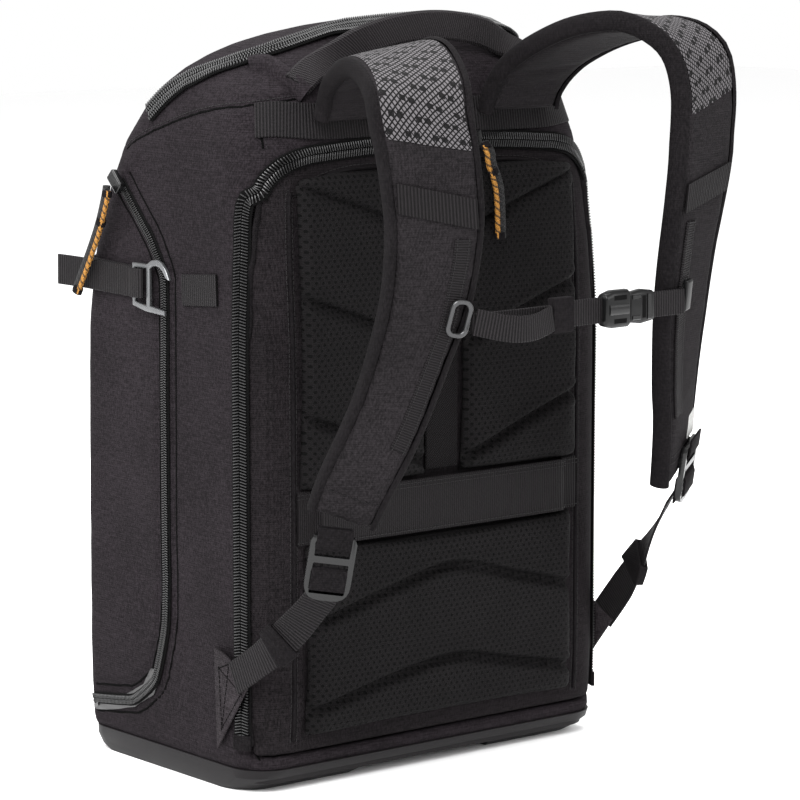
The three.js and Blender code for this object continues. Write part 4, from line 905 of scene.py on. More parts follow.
@dataclass
class Sight:
    """The photograph's camera, and the lines of sight through its picture.

    The bearing is in degrees from the harness side; away, height and aim are in millimetres from the tray's middle; the
    focus is in picture points; the distance to the pack is in metres.
    """

    bearing: float = 38.1
    away: float = 2410.6
    height: float = 594.3
    focus: float = 3477.6
    aim: tuple[float, float, float] = (46.7, -2.0, 238.2)
    frame_width: int = 800
    sensor: float = 36.0
    distance: float = 2.45

    def place(self) -> Vector:
        """Where the camera stands."""
        turn = math.radians(self.bearing)
        return spot(-math.sin(turn) * self.away, -math.cos(turn) * self.away - 2.0, self.height)

    def target(self) -> Vector:
        """What it looks at."""
        return spot(*self.aim)

    def build(self) -> None:
        """Make the camera."""
        data = bpy.data.cameras.new("photo_camera")
        data.sensor_width = self.sensor
        data.lens = self.focus * self.sensor / self.frame_width
        data.clip_end = 20.0
        camera = bpy.data.objects.new("photo_camera", data)
        bpy.context.scene.collection.objects.link(camera)
        camera.location = self.place()
        camera.rotation_euler = (self.target() - self.place()).to_track_quat("-Z", "Y").to_euler()
        bpy.context.scene.camera = camera

    def line(self, across: float, down: float) -> Vector:
        """Direction through a place in the picture, counted from its top left corner."""
        ahead = (self.target() - self.place()).normalized()
        right = ahead.cross(Vector((0, 0, 1))).normalized()
        above = right.cross(ahead)
        half = self.frame_width / 2
        return (ahead + right * ((across - half) / self.focus) + above * ((half - down) / self.focus)).normalized()

    def route(self, places: Sequence[tuple[float, float]], tree: BVHTree) -> Route:
        """Lay a line seen in the picture on a surface.

        Args:
            places: Where the line runs in the picture.
            tree: The surface.

        Returns:
            The line on the surface, without the places that miss it.
        """
        hits = [tree.ray_cast(self.place(), self.line(*place)) for place in places]
        hits = [hit for hit in hits if hit[0] is not None]
        return Route([hit[0] for hit in hits], [hit[1] for hit in hits])

    def patch(self, upper: Places, lower: Places, tree: BVHTree, lift: float, thick: float) -> bpy.types.Object:
        """Lay a piece of cloth between two lines seen in the picture.

        Args:
            upper: Places along one edge.
            lower: Places along the other edge.
            tree: The surface that it lies on.
            lift: How far it stands off, in metres.
            thick: Its thickness, in metres.

        Returns:
            The cloth, its outer face lifted.
        """
        def along(line: Places, t: float) -> Vector:
            """A place on a broken line."""
            reach = t * (len(line) - 1)
            k = min(int(reach), len(line) - 2)
            return Vector(line[k]).lerp(Vector(line[k + 1]), reach - k)

        rows, columns = 12, 24
        Bench.clear()
        bpy.ops.mesh.primitive_grid_add(x_subdivisions=columns, y_subdivisions=rows, size=1.0)
        piece = bpy.context.object
        for vertex in piece.data.vertices:
            a, b = vertex.co.x + 0.5, vertex.co.y + 0.5
            place = along(upper, a).lerp(along(lower, a), b)
            hit, normal, _, _ = tree.ray_cast(self.place(), self.line(place.x, place.y))
            if hit is None:
                hit, normal, _, _ = tree.find_nearest(self.place() + self.line(place.x, place.y) * self.distance)
            vertex.co = hit + normal * lift
        if sum(f.normal.dot(tree.find_nearest(f.center)[1]) for f in piece.data.polygons) < 0:
            piece.data.flip_normals()
        Bench.apply(piece, "SOLIDIFY", thickness=thick, offset=-1.0)
        return piece


class Finishes:
    """Every finish of the pack, dyed once; colours are linear, from nought to one."""

    def __init__(self) -> None:
        """Dye them all."""
        self.cloth = Cloth("cloth", (0.0050, 0.0040, 0.0047), (0.0165, 0.0134, 0.0157)).material()
        self.lid = Cloth("lid_cloth", (0.0060, 0.0049, 0.0057), (0.0190, 0.0156, 0.0181), 1.1).material()
        self.panel = Cloth("panel_cloth", (0.0030, 0.0025, 0.0028), (0.0125, 0.0104, 0.0116), 0.8).material()
        self.strap = Cloth("strap_cloth", (0.0042, 0.0036, 0.0040), (0.0140, 0.0121, 0.0134), 0.9, 0.6, 0.07).material()
        self.binding = Cloth("binding", (0.0028, 0.0024, 0.0027), (0.0082, 0.0071, 0.0078), 0.4, 0.4).material()
        self.wing = Cloth("wing_cloth", (0.0085, 0.0072, 0.0080), (0.0280, 0.0240, 0.0265), 0.9).material()
        self.foam = Foam("pad_foam", (0.0001, 0.0001, 0.0001), (0.0052, 0.0045, 0.0049)).material()
        self.webbing = Webbing("webbing", (0.0008, 0.0007, 0.0008), (0.0165, 0.0143, 0.0156)).material()
        self.fine = Webbing("fine_webbing", (0.0018, 0.0015, 0.0017), (0.0125, 0.0108, 0.0118), 1.7).material()
        self.cross = Webbing("cross_webbing", (0.0012, 0.0010, 0.0011), (0.0125, 0.0108, 0.0118), 2.3,
                             Lay.ACROSS).material()
        self.twill = Webbing("twill", (0.0014, 0.0012, 0.0013), (0.0088, 0.0076, 0.0083), 1.9, Lay.DIAGONAL,
                             0.8).material()
        self.handle = Webbing("handle_webbing", (0.0028, 0.0024, 0.0027), (0.0230, 0.0200, 0.0218), 1.9,
                              Lay.STEEP).material()
        self.mesh = Mesh("strap_mesh", (0.0010, 0.0009, 0.0010), (0.0850, 0.0800, 0.0840)).material()
        self.thread = Moulded("thread", (0.0040, 0.0036, 0.0038), (0.0120, 0.0108, 0.0115), 0.6, 2500.0, 0.3,
                              gloss=0.2).material()
        # Near-black painted shadow: the dark lines in the seam furrows, in the door's gully and along the wing
        # stitches.
        self.seam = Moulded("seam_shadow", (0.0005, 0.0005, 0.0005), (0.0012, 0.0012, 0.0012), 0.95, 2500.0, 0.1,
                            gloss=0.05).material()
        self.coil = Moulded("zip_coil", (0.0024, 0.0023, 0.0025), (0.0046, 0.0044, 0.0047), 0.4, 900.0, 0.05,
                            0.08).material()
        # Near-black painted shade: the zip tape seen between the teeth, and the buckle's windows.
        self.gap = Moulded("zip_shadow", (0.0006, 0.0006, 0.0006), (0.0014, 0.0013, 0.0014), 0.9, 900.0, 0.05,
                           gloss=0.08).material()
        self.tape = Moulded("shiny_tape", (0.0032, 0.0028, 0.0031), (0.0072, 0.0063, 0.0068), 0.46, 1600.0, 0.2,
                            0.08).material()
        self.tray = Moulded("tray_rubber", (0.0042, 0.0036, 0.0040), (0.0082, 0.0071, 0.0079), 0.5, 1400.0, 0.15,
                            gloss=0.12).material()
        self.plastic = Moulded("buckle_plastic", (0.0018, 0.0018, 0.0019), (0.0038, 0.0038, 0.0040), 0.34, 700.0, 0.08,
                               0.04, gloss=0.16).material()
        self.lock = Moulded("lock_plastic", (0.0018, 0.0018, 0.0019), (0.0042, 0.0042, 0.0044), 0.26, 700.0, 0.06,
                            0.1, gloss=0.25).material()
        self.metal = Moulded("grey_metal", (0.095, 0.097, 0.100), (0.150, 0.153, 0.157), 0.38, 600.0, 0.05,
                             metallic=0.85).material()
        self.steel = Moulded("dark_metal", (0.030, 0.030, 0.031), (0.055, 0.055, 0.057), 0.33, 600.0, 0.05,
                             metallic=0.8).material()
        self.orange = Braid("orange_braid", (0.270, 0.120, 0.017), (0.050, 0.024, 0.005)).material()
        self.black_cord = Braid("black_braid", (0.0018, 0.0017, 0.0018), (0.0085, 0.0076, 0.0082)).material()
        self.tag = Cloth("tag_cloth", (0.26, 0.26, 0.255), (0.40, 0.40, 0.39), 0.4, 0.3).material()


class SoftForm:
    """Turns a rigid form into a stuffed one."""

    @staticmethod
    def remesh(node: str, voxel: float, smooth: int) -> bpy.types.Object:
        """Copy a CAD node as an even mesh, the voxel in millimetres, smoothed a number of times."""
        piece = Bench.copy(node)
        Bench.apply(piece, "REMESH", mode="VOXEL", voxel_size=voxel * MM, use_smooth_shade=True)
        Bench.apply(piece, "SMOOTH", factor=0.5, iterations=smooth)
        return piece

    @staticmethod
    def swell(piece: bpy.types.Object, pressure: float, cap: float, frames: int = 18) -> None:
        """Blow the piece up as cloth, with no point moving more than cap millimetres."""
        before = [v.co.copy() for v in piece.data.vertices]
        Bench.take(piece)
        modifier = piece.modifiers.new("stuffing", "CLOTH")
        modifier.settings.quality = 4
        modifier.settings.use_pressure = True
        modifier.settings.uniform_pressure_force = pressure
        modifier.settings.effector_weights.gravity = 0.0
        modifier.point_cache.frame_start, modifier.point_cache.frame_end = 1, frames
        scene = bpy.context.scene
        for step in range(1, frames + 1):
            scene.frame_set(step)
        bpy.ops.object.modifier_apply(modifier=modifier.name)
        scene.frame_set(1)
        for vertex, start in zip(piece.data.vertices, before):
            move = vertex.co - start
            if move.length > cap * MM:
                vertex.co = start + move.normalized() * cap * MM

    @staticmethod
    def shape(piece: bpy.types.Object, push: Callable[[Vector, Vector], float]) -> None:
        """Move each point along its normal by what push returns, in millimetres."""
        normals = [v.normal.copy() for v in piece.data.vertices]
        for vertex, normal in zip(piece.data.vertices, normals):
            vertex.co += normal * (push(vertex.co, normal) * MM)

    @staticmethod
    def furrow(routes: Sequence[Route], depth: float, width: float, lip: float = 0.0) -> Callable[[Vector], float]:
        """How far a set of seams pulls the surface in.

        Args:
            routes: The seams.
            depth: Depth on the seam, in millimetres.
            width: Reach to each side, in millimetres.
            lip: Swell beside the seam, in millimetres.

        Returns:
            A function of place that returns millimetres, inwards below nought.
        """
        mark_step, steep, crest = 0.0015, 2.5, 1.7
        marks = [point for route in routes for point in route.spaced(mark_step).points]
        tree = KDTree(len(marks))
        for index, point in enumerate(marks):
            tree.insert(point, index)
        tree.balance()

        def pull(place: Vector) -> float:
            """Pull at one place."""
            _, _, far = tree.find(place)
            t = far / (width * MM)
            return -depth * math.exp(-t * t * steep) + lip * math.exp(-(t - crest) ** 2 * steep)

        return pull


@dataclass
class Body:
    """The cloth body on its tray: shell, seams and gusset; sizes in millimetres."""

    voxel: float = 3.7
    sag: float = 0.55
    crease: float = 0.3
    seam_depth: float = 1.5
    seam_width: float = 4.0
    seam_lip: float = 0.35
    side_zip_edge: float = 9.4
    main_zip_edge: float = 14.5
    side_seam: Places = ((126, 148), (145, 134), (165, 125), (190, 115), (213, 109), (236, 106), (256, 104),
                         (280, 101), (300, 98))
    corner_seam: Places = ((254, 105), (257, 118), (260, 134), (263, 148))
    flap_seam: Places = ((252, 66), (270, 64), (281, 72), (292, 82), (301, 91))

    def build(self, kit: Finishes, sight: Sight) -> BVHTree:
        """Sew the body and return its surface."""
        piece = SoftForm.remesh("body_shell", self.voxel, 2)
        tree = Bench.tree(piece)
        seams = []
        for places in (self.side_seam, self.corner_seam, self.flap_seam):
            seen = sight.route(places, tree)
            seams += [seen, seen.mirrored(tree)]
        edges = [Route.of("side_zip").shifted(side * self.side_zip_edge * MM).on(tree) for side in (-1, 1)]
        edges.append(Route.of("main_zip").shifted(self.main_zip_edge * MM).on(tree))
        pull = SoftForm.furrow(seams + edges, self.seam_depth, self.seam_width, self.seam_lip)

        def push(place: Vector, _: Vector) -> float:
            """Seams, slack panels and small creases."""
            p = place / MM
            slack = noise.noise(Vector((p.x * 0.011, p.y * 0.014, p.z * 0.008))) * self.sag
            crease = noise.noise(Vector((p.x * 0.03, p.y * 0.03, p.z * 0.055 + 7))) * self.crease
            return pull(place) + slack + crease

        SoftForm.shape(piece, push)
        Bench.dress(piece, "body_cloth", kit.cloth, "cloth", ["body_shell"], 60)
        tree = Bench.tree(piece)
        # Thin near-black tubes along the seams and zip edges: painted shadow in the bottom of each furrow.
        threads = [Tailor.tube(route.spaced(STRIP_STEP).on(tree, THREAD_LIFT), 0.75, 6, 0.5) for route in seams + edges]
        Bench.dress(Bench.join(threads), "seam_shadow_lines", kit.seam, "cloth")
        rows = [Tailor.stitches(route.spaced(SEAM_STEP).shifted(0.0024).on(tree, 0.00015), 3.4, 2.3, 0.5)
                for route in seams[:4]]
        Bench.dress(Bench.join(rows), "seam_stitches", kit.thread, "cloth")
        return tree


@dataclass
class Door:
    """The harness door: cloth face, edge binding and the piping round the pads; sizes in millimetres."""

    voxel: float = 4.0
    binding_inset: float = 12.4
    binding_radius: float = 4.3
    gully_inset: float = 5.0
    stitch_aside: float = 2.6

    def build(self, kit: Finishes) -> None:
        """Make the door, its rolled binding, a painted shadow line in the gully inside the binding, and the piping
        round the pads.
        """
        piece = SoftForm.remesh("harness_door", self.voxel, 2)
        Bench.apply(piece, "SUBSURF", levels=1, render_levels=1)
        Bench.dress(piece, "door_cloth", kit.panel, "cloth", ["harness_door"], 60)
        tree = Bench.tree(piece)
        line = Route.of("main_zip").shifted(-self.binding_inset * MM)
        inner = line.spaced(SEAM_STEP).on(tree, 0.0006)
        roll = Tailor.tube(inner, self.binding_radius, 12, 0.5)
        Bench.dress(roll, "door_binding", kit.binding, "cloth")
        # A thin near-black tube in the gully inside the binding: painted shadow.
        gully = Tailor.tube(line.shifted(-self.gully_inset * MM).spaced(SEAM_STEP).on(tree, 0.0004), 0.9, 8)
        Bench.dress(gully, "door_gully_shadow", kit.seam, "cloth")
        self.frame_line(kit, tree)

    def frame_line(self, kit: Finishes, tree: BVHTree) -> None:
        """Piping round the pads, with a row of stitches on each side."""
        x, low, high, bend = 124.5, 36, 404, 18
        corner = [(-x, low), (-x, 120), (-x, 240), (-x, high - bend), (-x + 5, high - 5), (-x + bend, high + 2)]
        points = [spot(a, -106, b) for a, b in corner] + [spot(a, -106, 414) for a in (-70, 0, 70)]
        points += [spot(-a, -106, b) for a, b in reversed(corner)]
        route = Route(points, [Vector((0, -1, 0))] * len(points)).spaced(SEAM_STEP).on(tree, 0.0004)
        piping = Tailor.tube(route, 1.3, 8)
        Bench.dress(piping, "pad_piping", kit.binding, "cloth")
        rows = [Tailor.stitches(route.shifted(side * self.stitch_aside * MM).on(tree, THREAD_LIFT), 3.4, 2.3, 0.5)
                for side in (-1, 1)]
        Bench.dress(Bench.join(rows), "pad_piping_stitches", kit.thread, "cloth")


@dataclass
class Zip:
    """A coil zip: woven tape, and two rows of teeth that mesh in each lane; sizes in millimetres, lean in radians."""

    name: str
    tape: float
    tooth: float
    pitch: float
    high: float = 2.0
    lanes: tuple[float, ...] = (0.0,)
    fill: float = 0.62
    lean: float = 0.22
    reach: float = 0.58

    def build(self, kit: Finishes) -> None:
        """Lay the tape and the teeth on the cloth."""
        route = Route.of(self.name).spaced(STRIP_STEP)
        # The tape is real, but its near-black zip-shadow colour is painted shade between and under the teeth.
        ribbon = Tailor.band(route.shifted(0.0, -0.0003), self.tape, 1.3, 0.4)
        Bench.dress(ribbon, self.name + "_tape", kit.gap, "coil", [self.name])
        rows = []
        for lane in self.lanes:
            line = route.spaced(self.pitch * MM).shifted(lane * MM, 0.0005)
            half = route.spaced(self.pitch * MM / 2).shifted(lane * MM, 0.0005)
            odd = Route(half.points[1::2], half.outs[1::2])
            for side, stations in ((-1, line), (1, odd)):
                shape = Tailor.tooth(self.tooth, self.pitch * self.fill, self.high)
                aside = side * self.tooth * self.reach * MM
                rows.append(Tailor.repeat(shape, stations, 0.0005, side * self.lean, aside))
        Bench.dress(Bench.join(rows), self.name + "_coil", kit.coil, "coil", angle=50)


@dataclass
class Pads:
    """The punched foam pads on the harness, with their sewn channels; sizes in millimetres."""

    voxel: float = 3.2
    pressure: float = 2.5
    cap: float = 2.2
    face: float = -111.0
    channel_depth: float = 4.4
    channel_width: float = 3.8
    channel_lip: float = 1.1
    falls: Places = ((405, 366), (331, 292), (253, 213))
    chevrons: Places = ((113, 141), (55, 77))

    def build(self, kit: Finishes) -> None:
        """Stuff the pads and sew their channels."""
        for name, side in (("left", -1), ("right", 1)):
            self.pad(kit, f"back_pad_{name}", self.upper_channels(side))
        self.pad(kit, "back_pad_lower", self.lower_channels())

    def channel(self, places: Places) -> Route:
        """A channel through places across and up the pads' face."""
        return Route([spot(x, self.face, z) for x, z in places], [Vector((0, -1, 0))] * len(places))

    def upper_channels(self, side: int) -> list[Route]:
        """Channels that fall from the outer edge towards the middle."""
        return [self.channel(((side * 121, outer), (side * 70, (outer + inner) / 2 + 2), (side * 15, inner)))
                for outer, inner in self.falls]

    def lower_channels(self) -> list[Route]:
        """Two chevrons."""
        return [self.channel(((-116, edge), (-55, (edge + peak) / 2 + 3), (6, peak), (60, (edge + peak) / 2 + 1),
                              (116, edge + 1))) for edge, peak in self.chevrons]

    def pad(self, kit: Finishes, node: str, channels: list[Route]) -> None:
        """Stuff one pad."""
        piece = SoftForm.remesh(node, self.voxel, 2)
        SoftForm.swell(piece, self.pressure, self.cap)
        Bench.apply(piece, "SUBSURF", levels=1, render_levels=1)
        pull = SoftForm.furrow(channels, self.channel_depth, self.channel_width, self.channel_lip)
        level = spot(0, self.face, 0).y

        def push(place: Vector, normal: Vector) -> float:
            """Sewn channels on the face, and a slight unevenness."""
            wave = noise.noise(place * 22.0) * 0.5
            return max(0.0, -normal.y) * (pull(Vector((place.x, level, place.z))) + wave)

        SoftForm.shape(piece, push)
        Bench.dress(piece, node.replace("back_", "") + "_foam", kit.foam, "foam", [node], 60)


@dataclass
class Strap:
    """A shoulder strap: padded core, edge binding, knit mesh, cross band and rail; sizes in millimetres."""

    side: str
    voxel: float = 3.6
    pressure: float = 2.0
    cap: float = 1.6
    mesh_start: float = 0.2
    mesh_end: float = 0.42
    mesh_margin: float = 5.4
    edge_round: float = 3.6
    edge_high: float = 6.9
    band_width: float = 53.0
    rail_width: float = 11.0
    end_seams: tuple[float, float] = (0.955, 0.965)
    lean: float = 0.34

    def build(self, kit: Finishes) -> None:
        """Make the strap from its core outwards."""
        rows = STRAPS[self.side]
        line = Route([spot(*r[:3]) for r in rows], [Vector(r[3:6]) for r in rows], [r[6] for r in rows])
        core = SoftForm.remesh(f"shoulder_strap_{self.side}", self.voxel, 3)
        SoftForm.swell(core, self.pressure, self.cap, 14)
        Bench.apply(core, "SUBSURF", levels=1, render_levels=1)
        Bench.dress(core, f"strap_core_{self.side}", kit.strap, "foam", [f"shoulder_strap_{self.side}"], 60)
        tree = Bench.tree(core)
        fine = line.spaced(SEAM_STEP)
        self.bind(kit, fine)
        self.sew_end(kit, fine, tree)
        self.face(kit, fine, tree)
        self.trim(kit)

    def sew_end(self, kit: Finishes, line: Route, tree: BVHTree) -> None:
        """Two seams across the strap's lower end."""
        for number, share in enumerate(self.end_seams):
            station = round(share * (len(line.points) - 1))
            point, _, across, out = line.frames()[station]
            wide = line.widths[station] / 2 - 4
            seam = Route([point + across * (wide * MM * k / 6) + out * 0.004 for k in range(-6, 7)], [out] * 13)
            thread = Tailor.stitches(seam.on(tree, THREAD_LIFT), 3.0, 2.1, 0.5)
            Bench.dress(thread, f"strap_end_seam_{self.side}_{number}", kit.thread, "foam")

    def bind(self, kit: Finishes, line: Route) -> None:
        """Bound edges."""
        edges = []
        for turn in (-1, 1):
            points = [point + across * (turn * (width / 2 - 1.4) * MM)
                      for (point, _, across, _), width in zip(line.frames(), line.widths)]
            ring = [(turn * self.edge_round * math.cos(a), self.edge_high * math.sin(a))
                    for a in (math.pi * (k / 10 - 0.5) * 1.36 for k in range(11))]
            outs = [out for *_, out in line.frames()]
            edges.append(Tailor.strip(Route(points, outs), ring if turn > 0 else ring[::-1]))
            Bench.apply(edges[-1], "SOLIDIFY", thickness=0.0009, offset=-1.0)
        Bench.dress(Bench.join(edges), f"strap_binding_{self.side}", kit.binding, "foam", angle=60)

    def face(self, kit: Finishes, line: Route, tree: BVHTree) -> None:
        """Knit mesh over the shoulder."""
        part = line.cut(self.mesh_start, self.mesh_end)
        wide = 0.5 * sum(part.widths) / len(part.widths) - self.mesh_margin
        steps = [(-wide + 2 * wide * k / 16, 0.0) for k in range(17)]
        cover = Tailor.strip(Route(part.points, part.outs), steps)
        self.slant(cover, part, 0.5)
        for vertex in cover.data.vertices:
            near = min(range(len(part.points)), key=lambda k: (part.points[k] - vertex.co).length)
            out = part.outs[near]
            hit, *_ = tree.ray_cast(vertex.co + out * 0.02, -out)
            if hit is not None:
                vertex.co = hit + out * 0.0006
        Bench.apply(cover, "SUBSURF", levels=1, render_levels=1)
        Bench.dress(cover, f"strap_mesh_{self.side}", kit.mesh, "foam", angle=60)

    def trim(self, kit: Finishes) -> None:
        """Cross band, and the rail with its stitches."""
        band, rail = (f"strap_{part}_{self.side}" for part in ("cross_band", "rail"))
        route = Route.of(band).spaced(SEAM_STEP)
        piece = Tailor.band(route, self.band_width, 1.5, 0.4)
        self.slant(piece, route, 1.0)
        Bench.dress(piece, band + "_webbing", kit.cross, "webbing", [band])
        route = Route.of(rail).spaced(SEAM_STEP)
        Bench.dress(Tailor.band(route, self.rail_width, 1.5, 0.4), rail + "_webbing", kit.fine, "webbing", [rail])
        edge = (self.rail_width / 2 - 1.6) * MM
        rows = [Tailor.stitches(route.shifted(turn * edge, 0.0009), 3.0, 2.0, 0.45) for turn in (-1, 1)]
        Bench.dress(Bench.join(rows), rail + "_stitches", kit.thread, "webbing")

    def slant(self, piece: bpy.types.Object, route: Route, share: float) -> None:
        """Lean a cover that runs across the strap, its inner side lower.

        Args:
            piece: The cover.
            route: Its middle line, from its upper end to its lower end.
            share: How much of the lean its upper end takes; the lower end takes it all.
        """
        turn = 1 if self.side == "left" else -1
        first, frames = route.points[0], route.frames()
        whole = (route.points[-1] - first).length
        for vertex in piece.data.vertices:
            near = min(range(len(route.points)), key=lambda k: (route.points[k] - vertex.co).length)
            point, ahead, _, _ = frames[near]
            side = (vertex.co - point).x * turn
            done = min(1.0, (point - first).length / whole)
            vertex.co += ahead * (side * self.lean * (share + (1 - share) * done))


@dataclass
class Trim:
    """Small sewn things: the flap's edges, the tape's turn, the wings' stitches and the zip's stops."""

    flap: Places = ((251, 66), (261, 64), (272, 64), (284, 72), (296, 82), (308, 94))
    flap_profile: Places = ((-8.5, -5.4), (-6.0, -2.4), (-3.0, -0.2), (0.0, 0.8), (2.2, 0.4), (2.9, -1.4))
    flap_rise: float = 5.8
    turn_upper: Places = ((92, 697), (110, 697), (130, 693), (145, 684), (152, 668))
    turn_lower: Places = ((93, 708), (112, 709), (136, 706), (155, 694), (163, 672))
    wing_corners: Places = ((219, 668), (229, 664), (241, 694), (222, 728))
    wing_lines: tuple[tuple[int, int], ...] = ((0, 1), (1, 2), (2, 3), (3, 0), (0, 2), (1, 3))

    def build(self, kit: Finishes, sight: Sight, body: BVHTree) -> None:
        """Sew them on."""
        seen = sight.route(self.flap, body)
        other = seen.mirrored(body)
        for number, edge in enumerate((seen, Route(other.points[::-1], other.outs[::-1]))):
            rim = Tailor.strip(edge.spaced(0.004).shifted(0.0, self.flap_rise * MM), self.flap_profile)
            Bench.apply(rim, "SOLIDIFY", thickness=0.0007, offset=-1.0)
            Bench.dress(rim, f"lid_flap_edge_{number}", kit.lid, "cloth", angle=70)
        tape = sight.patch(self.turn_upper, self.turn_lower, body, 0.0012, 0.0008)
        Bench.dress(tape, "zip_tape_turn", kit.tape, "coil", angle=60)
        self.sew_wings(kit, sight)
        self.stop_zip(kit)

    def sew_wings(self, kit: Finishes, sight: Sight) -> None:
        """A box with a cross in it on each wing."""
        left, right = (Bench.tree(bpy.data.objects[f"wing_cloth_{side}"]) for side in ("left", "right"))
        for side, tree in (("left", left), ("right", right)):
            rows = []
            for first, last in self.wing_lines:
                start, end = Vector(self.wing_corners[first]), Vector(self.wing_corners[last])
                route = sight.route([tuple(start.lerp(end, k / 8)) for k in range(9)], left)
                if side == "right":
                    route = route.mirrored(tree)
                if len(route.points) > 1:
                    rows.append(Tailor.stitches(route.spaced(0.004).on(tree, THREAD_LIFT), 3.0, 2.2, 0.55))
            # The stitches are real, but drawn in the near-black seam-shadow finish: painted shade in the stitched
            # furrows.
            Bench.dress(Bench.join(rows), f"wing_stitches_{side}", kit.seam, "cloth")

    @staticmethod
    def stop_zip(kit: Finishes) -> None:
        """A folded stop over each end of the main zip."""
        line = Route.of("main_zip")
        for number, (end, out) in enumerate(((line.points[0], line.outs[0]), (line.points[-1], line.outs[-2]))):
            stop = Route([end + Vector((0, 0, -0.002)), end + Vector((0, 0, 0.008))], [out, out])
            patch = Tailor.band(stop.spaced(0.002).shifted(0.0, 0.0012), 13.5, 2.6, 0.9)
            Bench.dress(patch, f"zip_stop_{number}", kit.binding, "coil")


@dataclass
class Pulls:
    """Zip pulls: a black braided loop with an orange cord beside it, whipped in three places; millimetres."""

    lines: dict[str, Rows] = field(default_factory=lambda: {
        "side_zip": [(-163, 53.0, 398), (-164.8, 53.5, 386.6), (-162.8, 67.5, 362.1), (-165.2, 89.0, 322.3)],
        "main_zip": [(33.2, -107.0, 427), (33.8, -112.8, 421), (34.2, -114, 413), (41, -114, 395), (43, -114, 362)]})
    whippings: tuple[float, ...] = (0.07, 0.33, 0.985)
    apart: float = 2.0

    def build(self, kit: Finishes) -> None:
        """Tie them."""
        for name, line in self.lines.items():
            out, apart = ((Vector((-1, 0, 0)), -self.apart) if name == "side_zip" else
                          (Vector((0, -1, 0)), self.apart))
            route = Route([spot(*p) for p in line], [out] * len(line)).spaced(0.002)
            black = Tailor.tube(route.shifted(apart * MM, -0.0002), 3.5, 12, 0.66)
            Bench.dress(black, name + "_black_cord", kit.black_cord, "orange_cord")
            bright = Tailor.tube(route.shifted(-apart * 1.05 * MM, 0.0009).cut(0.05, 0.99), 1.75, 10)
            Bench.dress(bright, name + "_pull", kit.orange, "orange_cord", [name + "_cord"])
            wraps, last = [], len(route.points) - 2
            for share in self.whippings:
                k = min(max(round(share * (last + 1)), 1), last)
                wrap = Route(route.points[k - 1:k + 2], route.outs[k - 1:k + 2])
                wraps.append(Tailor.tube(wrap.shifted(0.0, 0.0002), 4.1, 12, 0.8))
            Bench.dress(Bench.join(wraps), name + "_whipping", kit.binding, "orange_cord")


@dataclass
class Ribbons:
    """The webbings, each laid where its CAD node runs; names, widths and thickness in millimetres."""

    thick: float = 1.6
    plain: tuple[tuple[str, float], ...] = (
        ("top_yoke_webbing", 24.0), ("lower_webbing_left", 23.0), ("lower_webbing_right", 23.0),
        ("sternum_webbing_left", 17.0), ("sternum_elastic", 12.0), ("sternum_webbing_middle", 17.0),
        ("sternum_webbing_right", 17.0), ("compression_webbing", 21.0), ("compression_tail", 21.0),
        ("compression_loop", 21.0))

    def build(self, kit: Finishes) -> None:
        """Lay them all."""
        for name, width in self.plain:
            route = Route.of(name).spaced(STRIP_STEP)
            if name == "top_yoke_webbing":
                route = route.cut(0.045, 0.955)
                route.points = [p + Vector((0, -0.0004, -0.0035)) for p in route.points]
            Bench.dress(Tailor.band(route, width, self.thick, 0.5), name + "_strip", kit.webbing, "webbing", [name])
        fold = [(28.5, -161.6), (27.0, -163.4), (22.0, -163.6), (17.0, -163.4), (14.5, -161.8)]
        through = Route([spot(x, y, 334.5) for y, x in fold], [Vector((-1, 0, 0))] * len(fold)).spaced(0.002)
        Bench.dress(Tailor.band(through, 20.0, 1.5, 0.5), "compression_hook_fold", kit.webbing, "webbing")
        handle = Tailor.band(Route.of("haul_handle").spaced(STRIP_STEP), 20.0, 4.6, 1.6, 0.2)
        Bench.dress(handle, "haul_handle_webbing", kit.handle, "webbing", ["haul_handle"])
        channel = Tailor.band(Route.of("centre_channel").spaced(0.01), 27.6, 2.4, 0.6)
        Bench.dress(channel, "centre_channel_twill", kit.twill, "twill", ["centre_channel"])
        self.luggage(kit)

    def luggage(self, kit: Finishes) -> None:
        """The wide trolley band, sewn down at both ends."""
        x, y, z, rise = 122.0, -103.5, 185.5, 6.75
        half = [(x, 0), (x - 12, 0), (x - 16, rise * 0.5), (x - 20, rise), (60, rise + 0.8)]
        path = [(-a, o) for a, o in half] + [(0, rise + 1)] + half[::-1]
        points = [spot(a, y - o, z) for a, o in path]
        route = Route(points, [Vector((0, -1, 0))] * len(points)).spaced(0.004)
        piece = Tailor.band(route, 36.4, 2.0, 0.6, 0.3)
        Bench.dress(piece, "luggage_band_webbing", kit.fine, "webbing", ["luggage_band"])
        rows = [Tailor.stitches(route.shifted(s * MM, 0.0013), 3.2, 2.2, 0.5) for s in (16.0, 13.4, -16.0)]
        Bench.dress(Bench.join(rows), "luggage_band_stitches", kit.thread, "webbing")


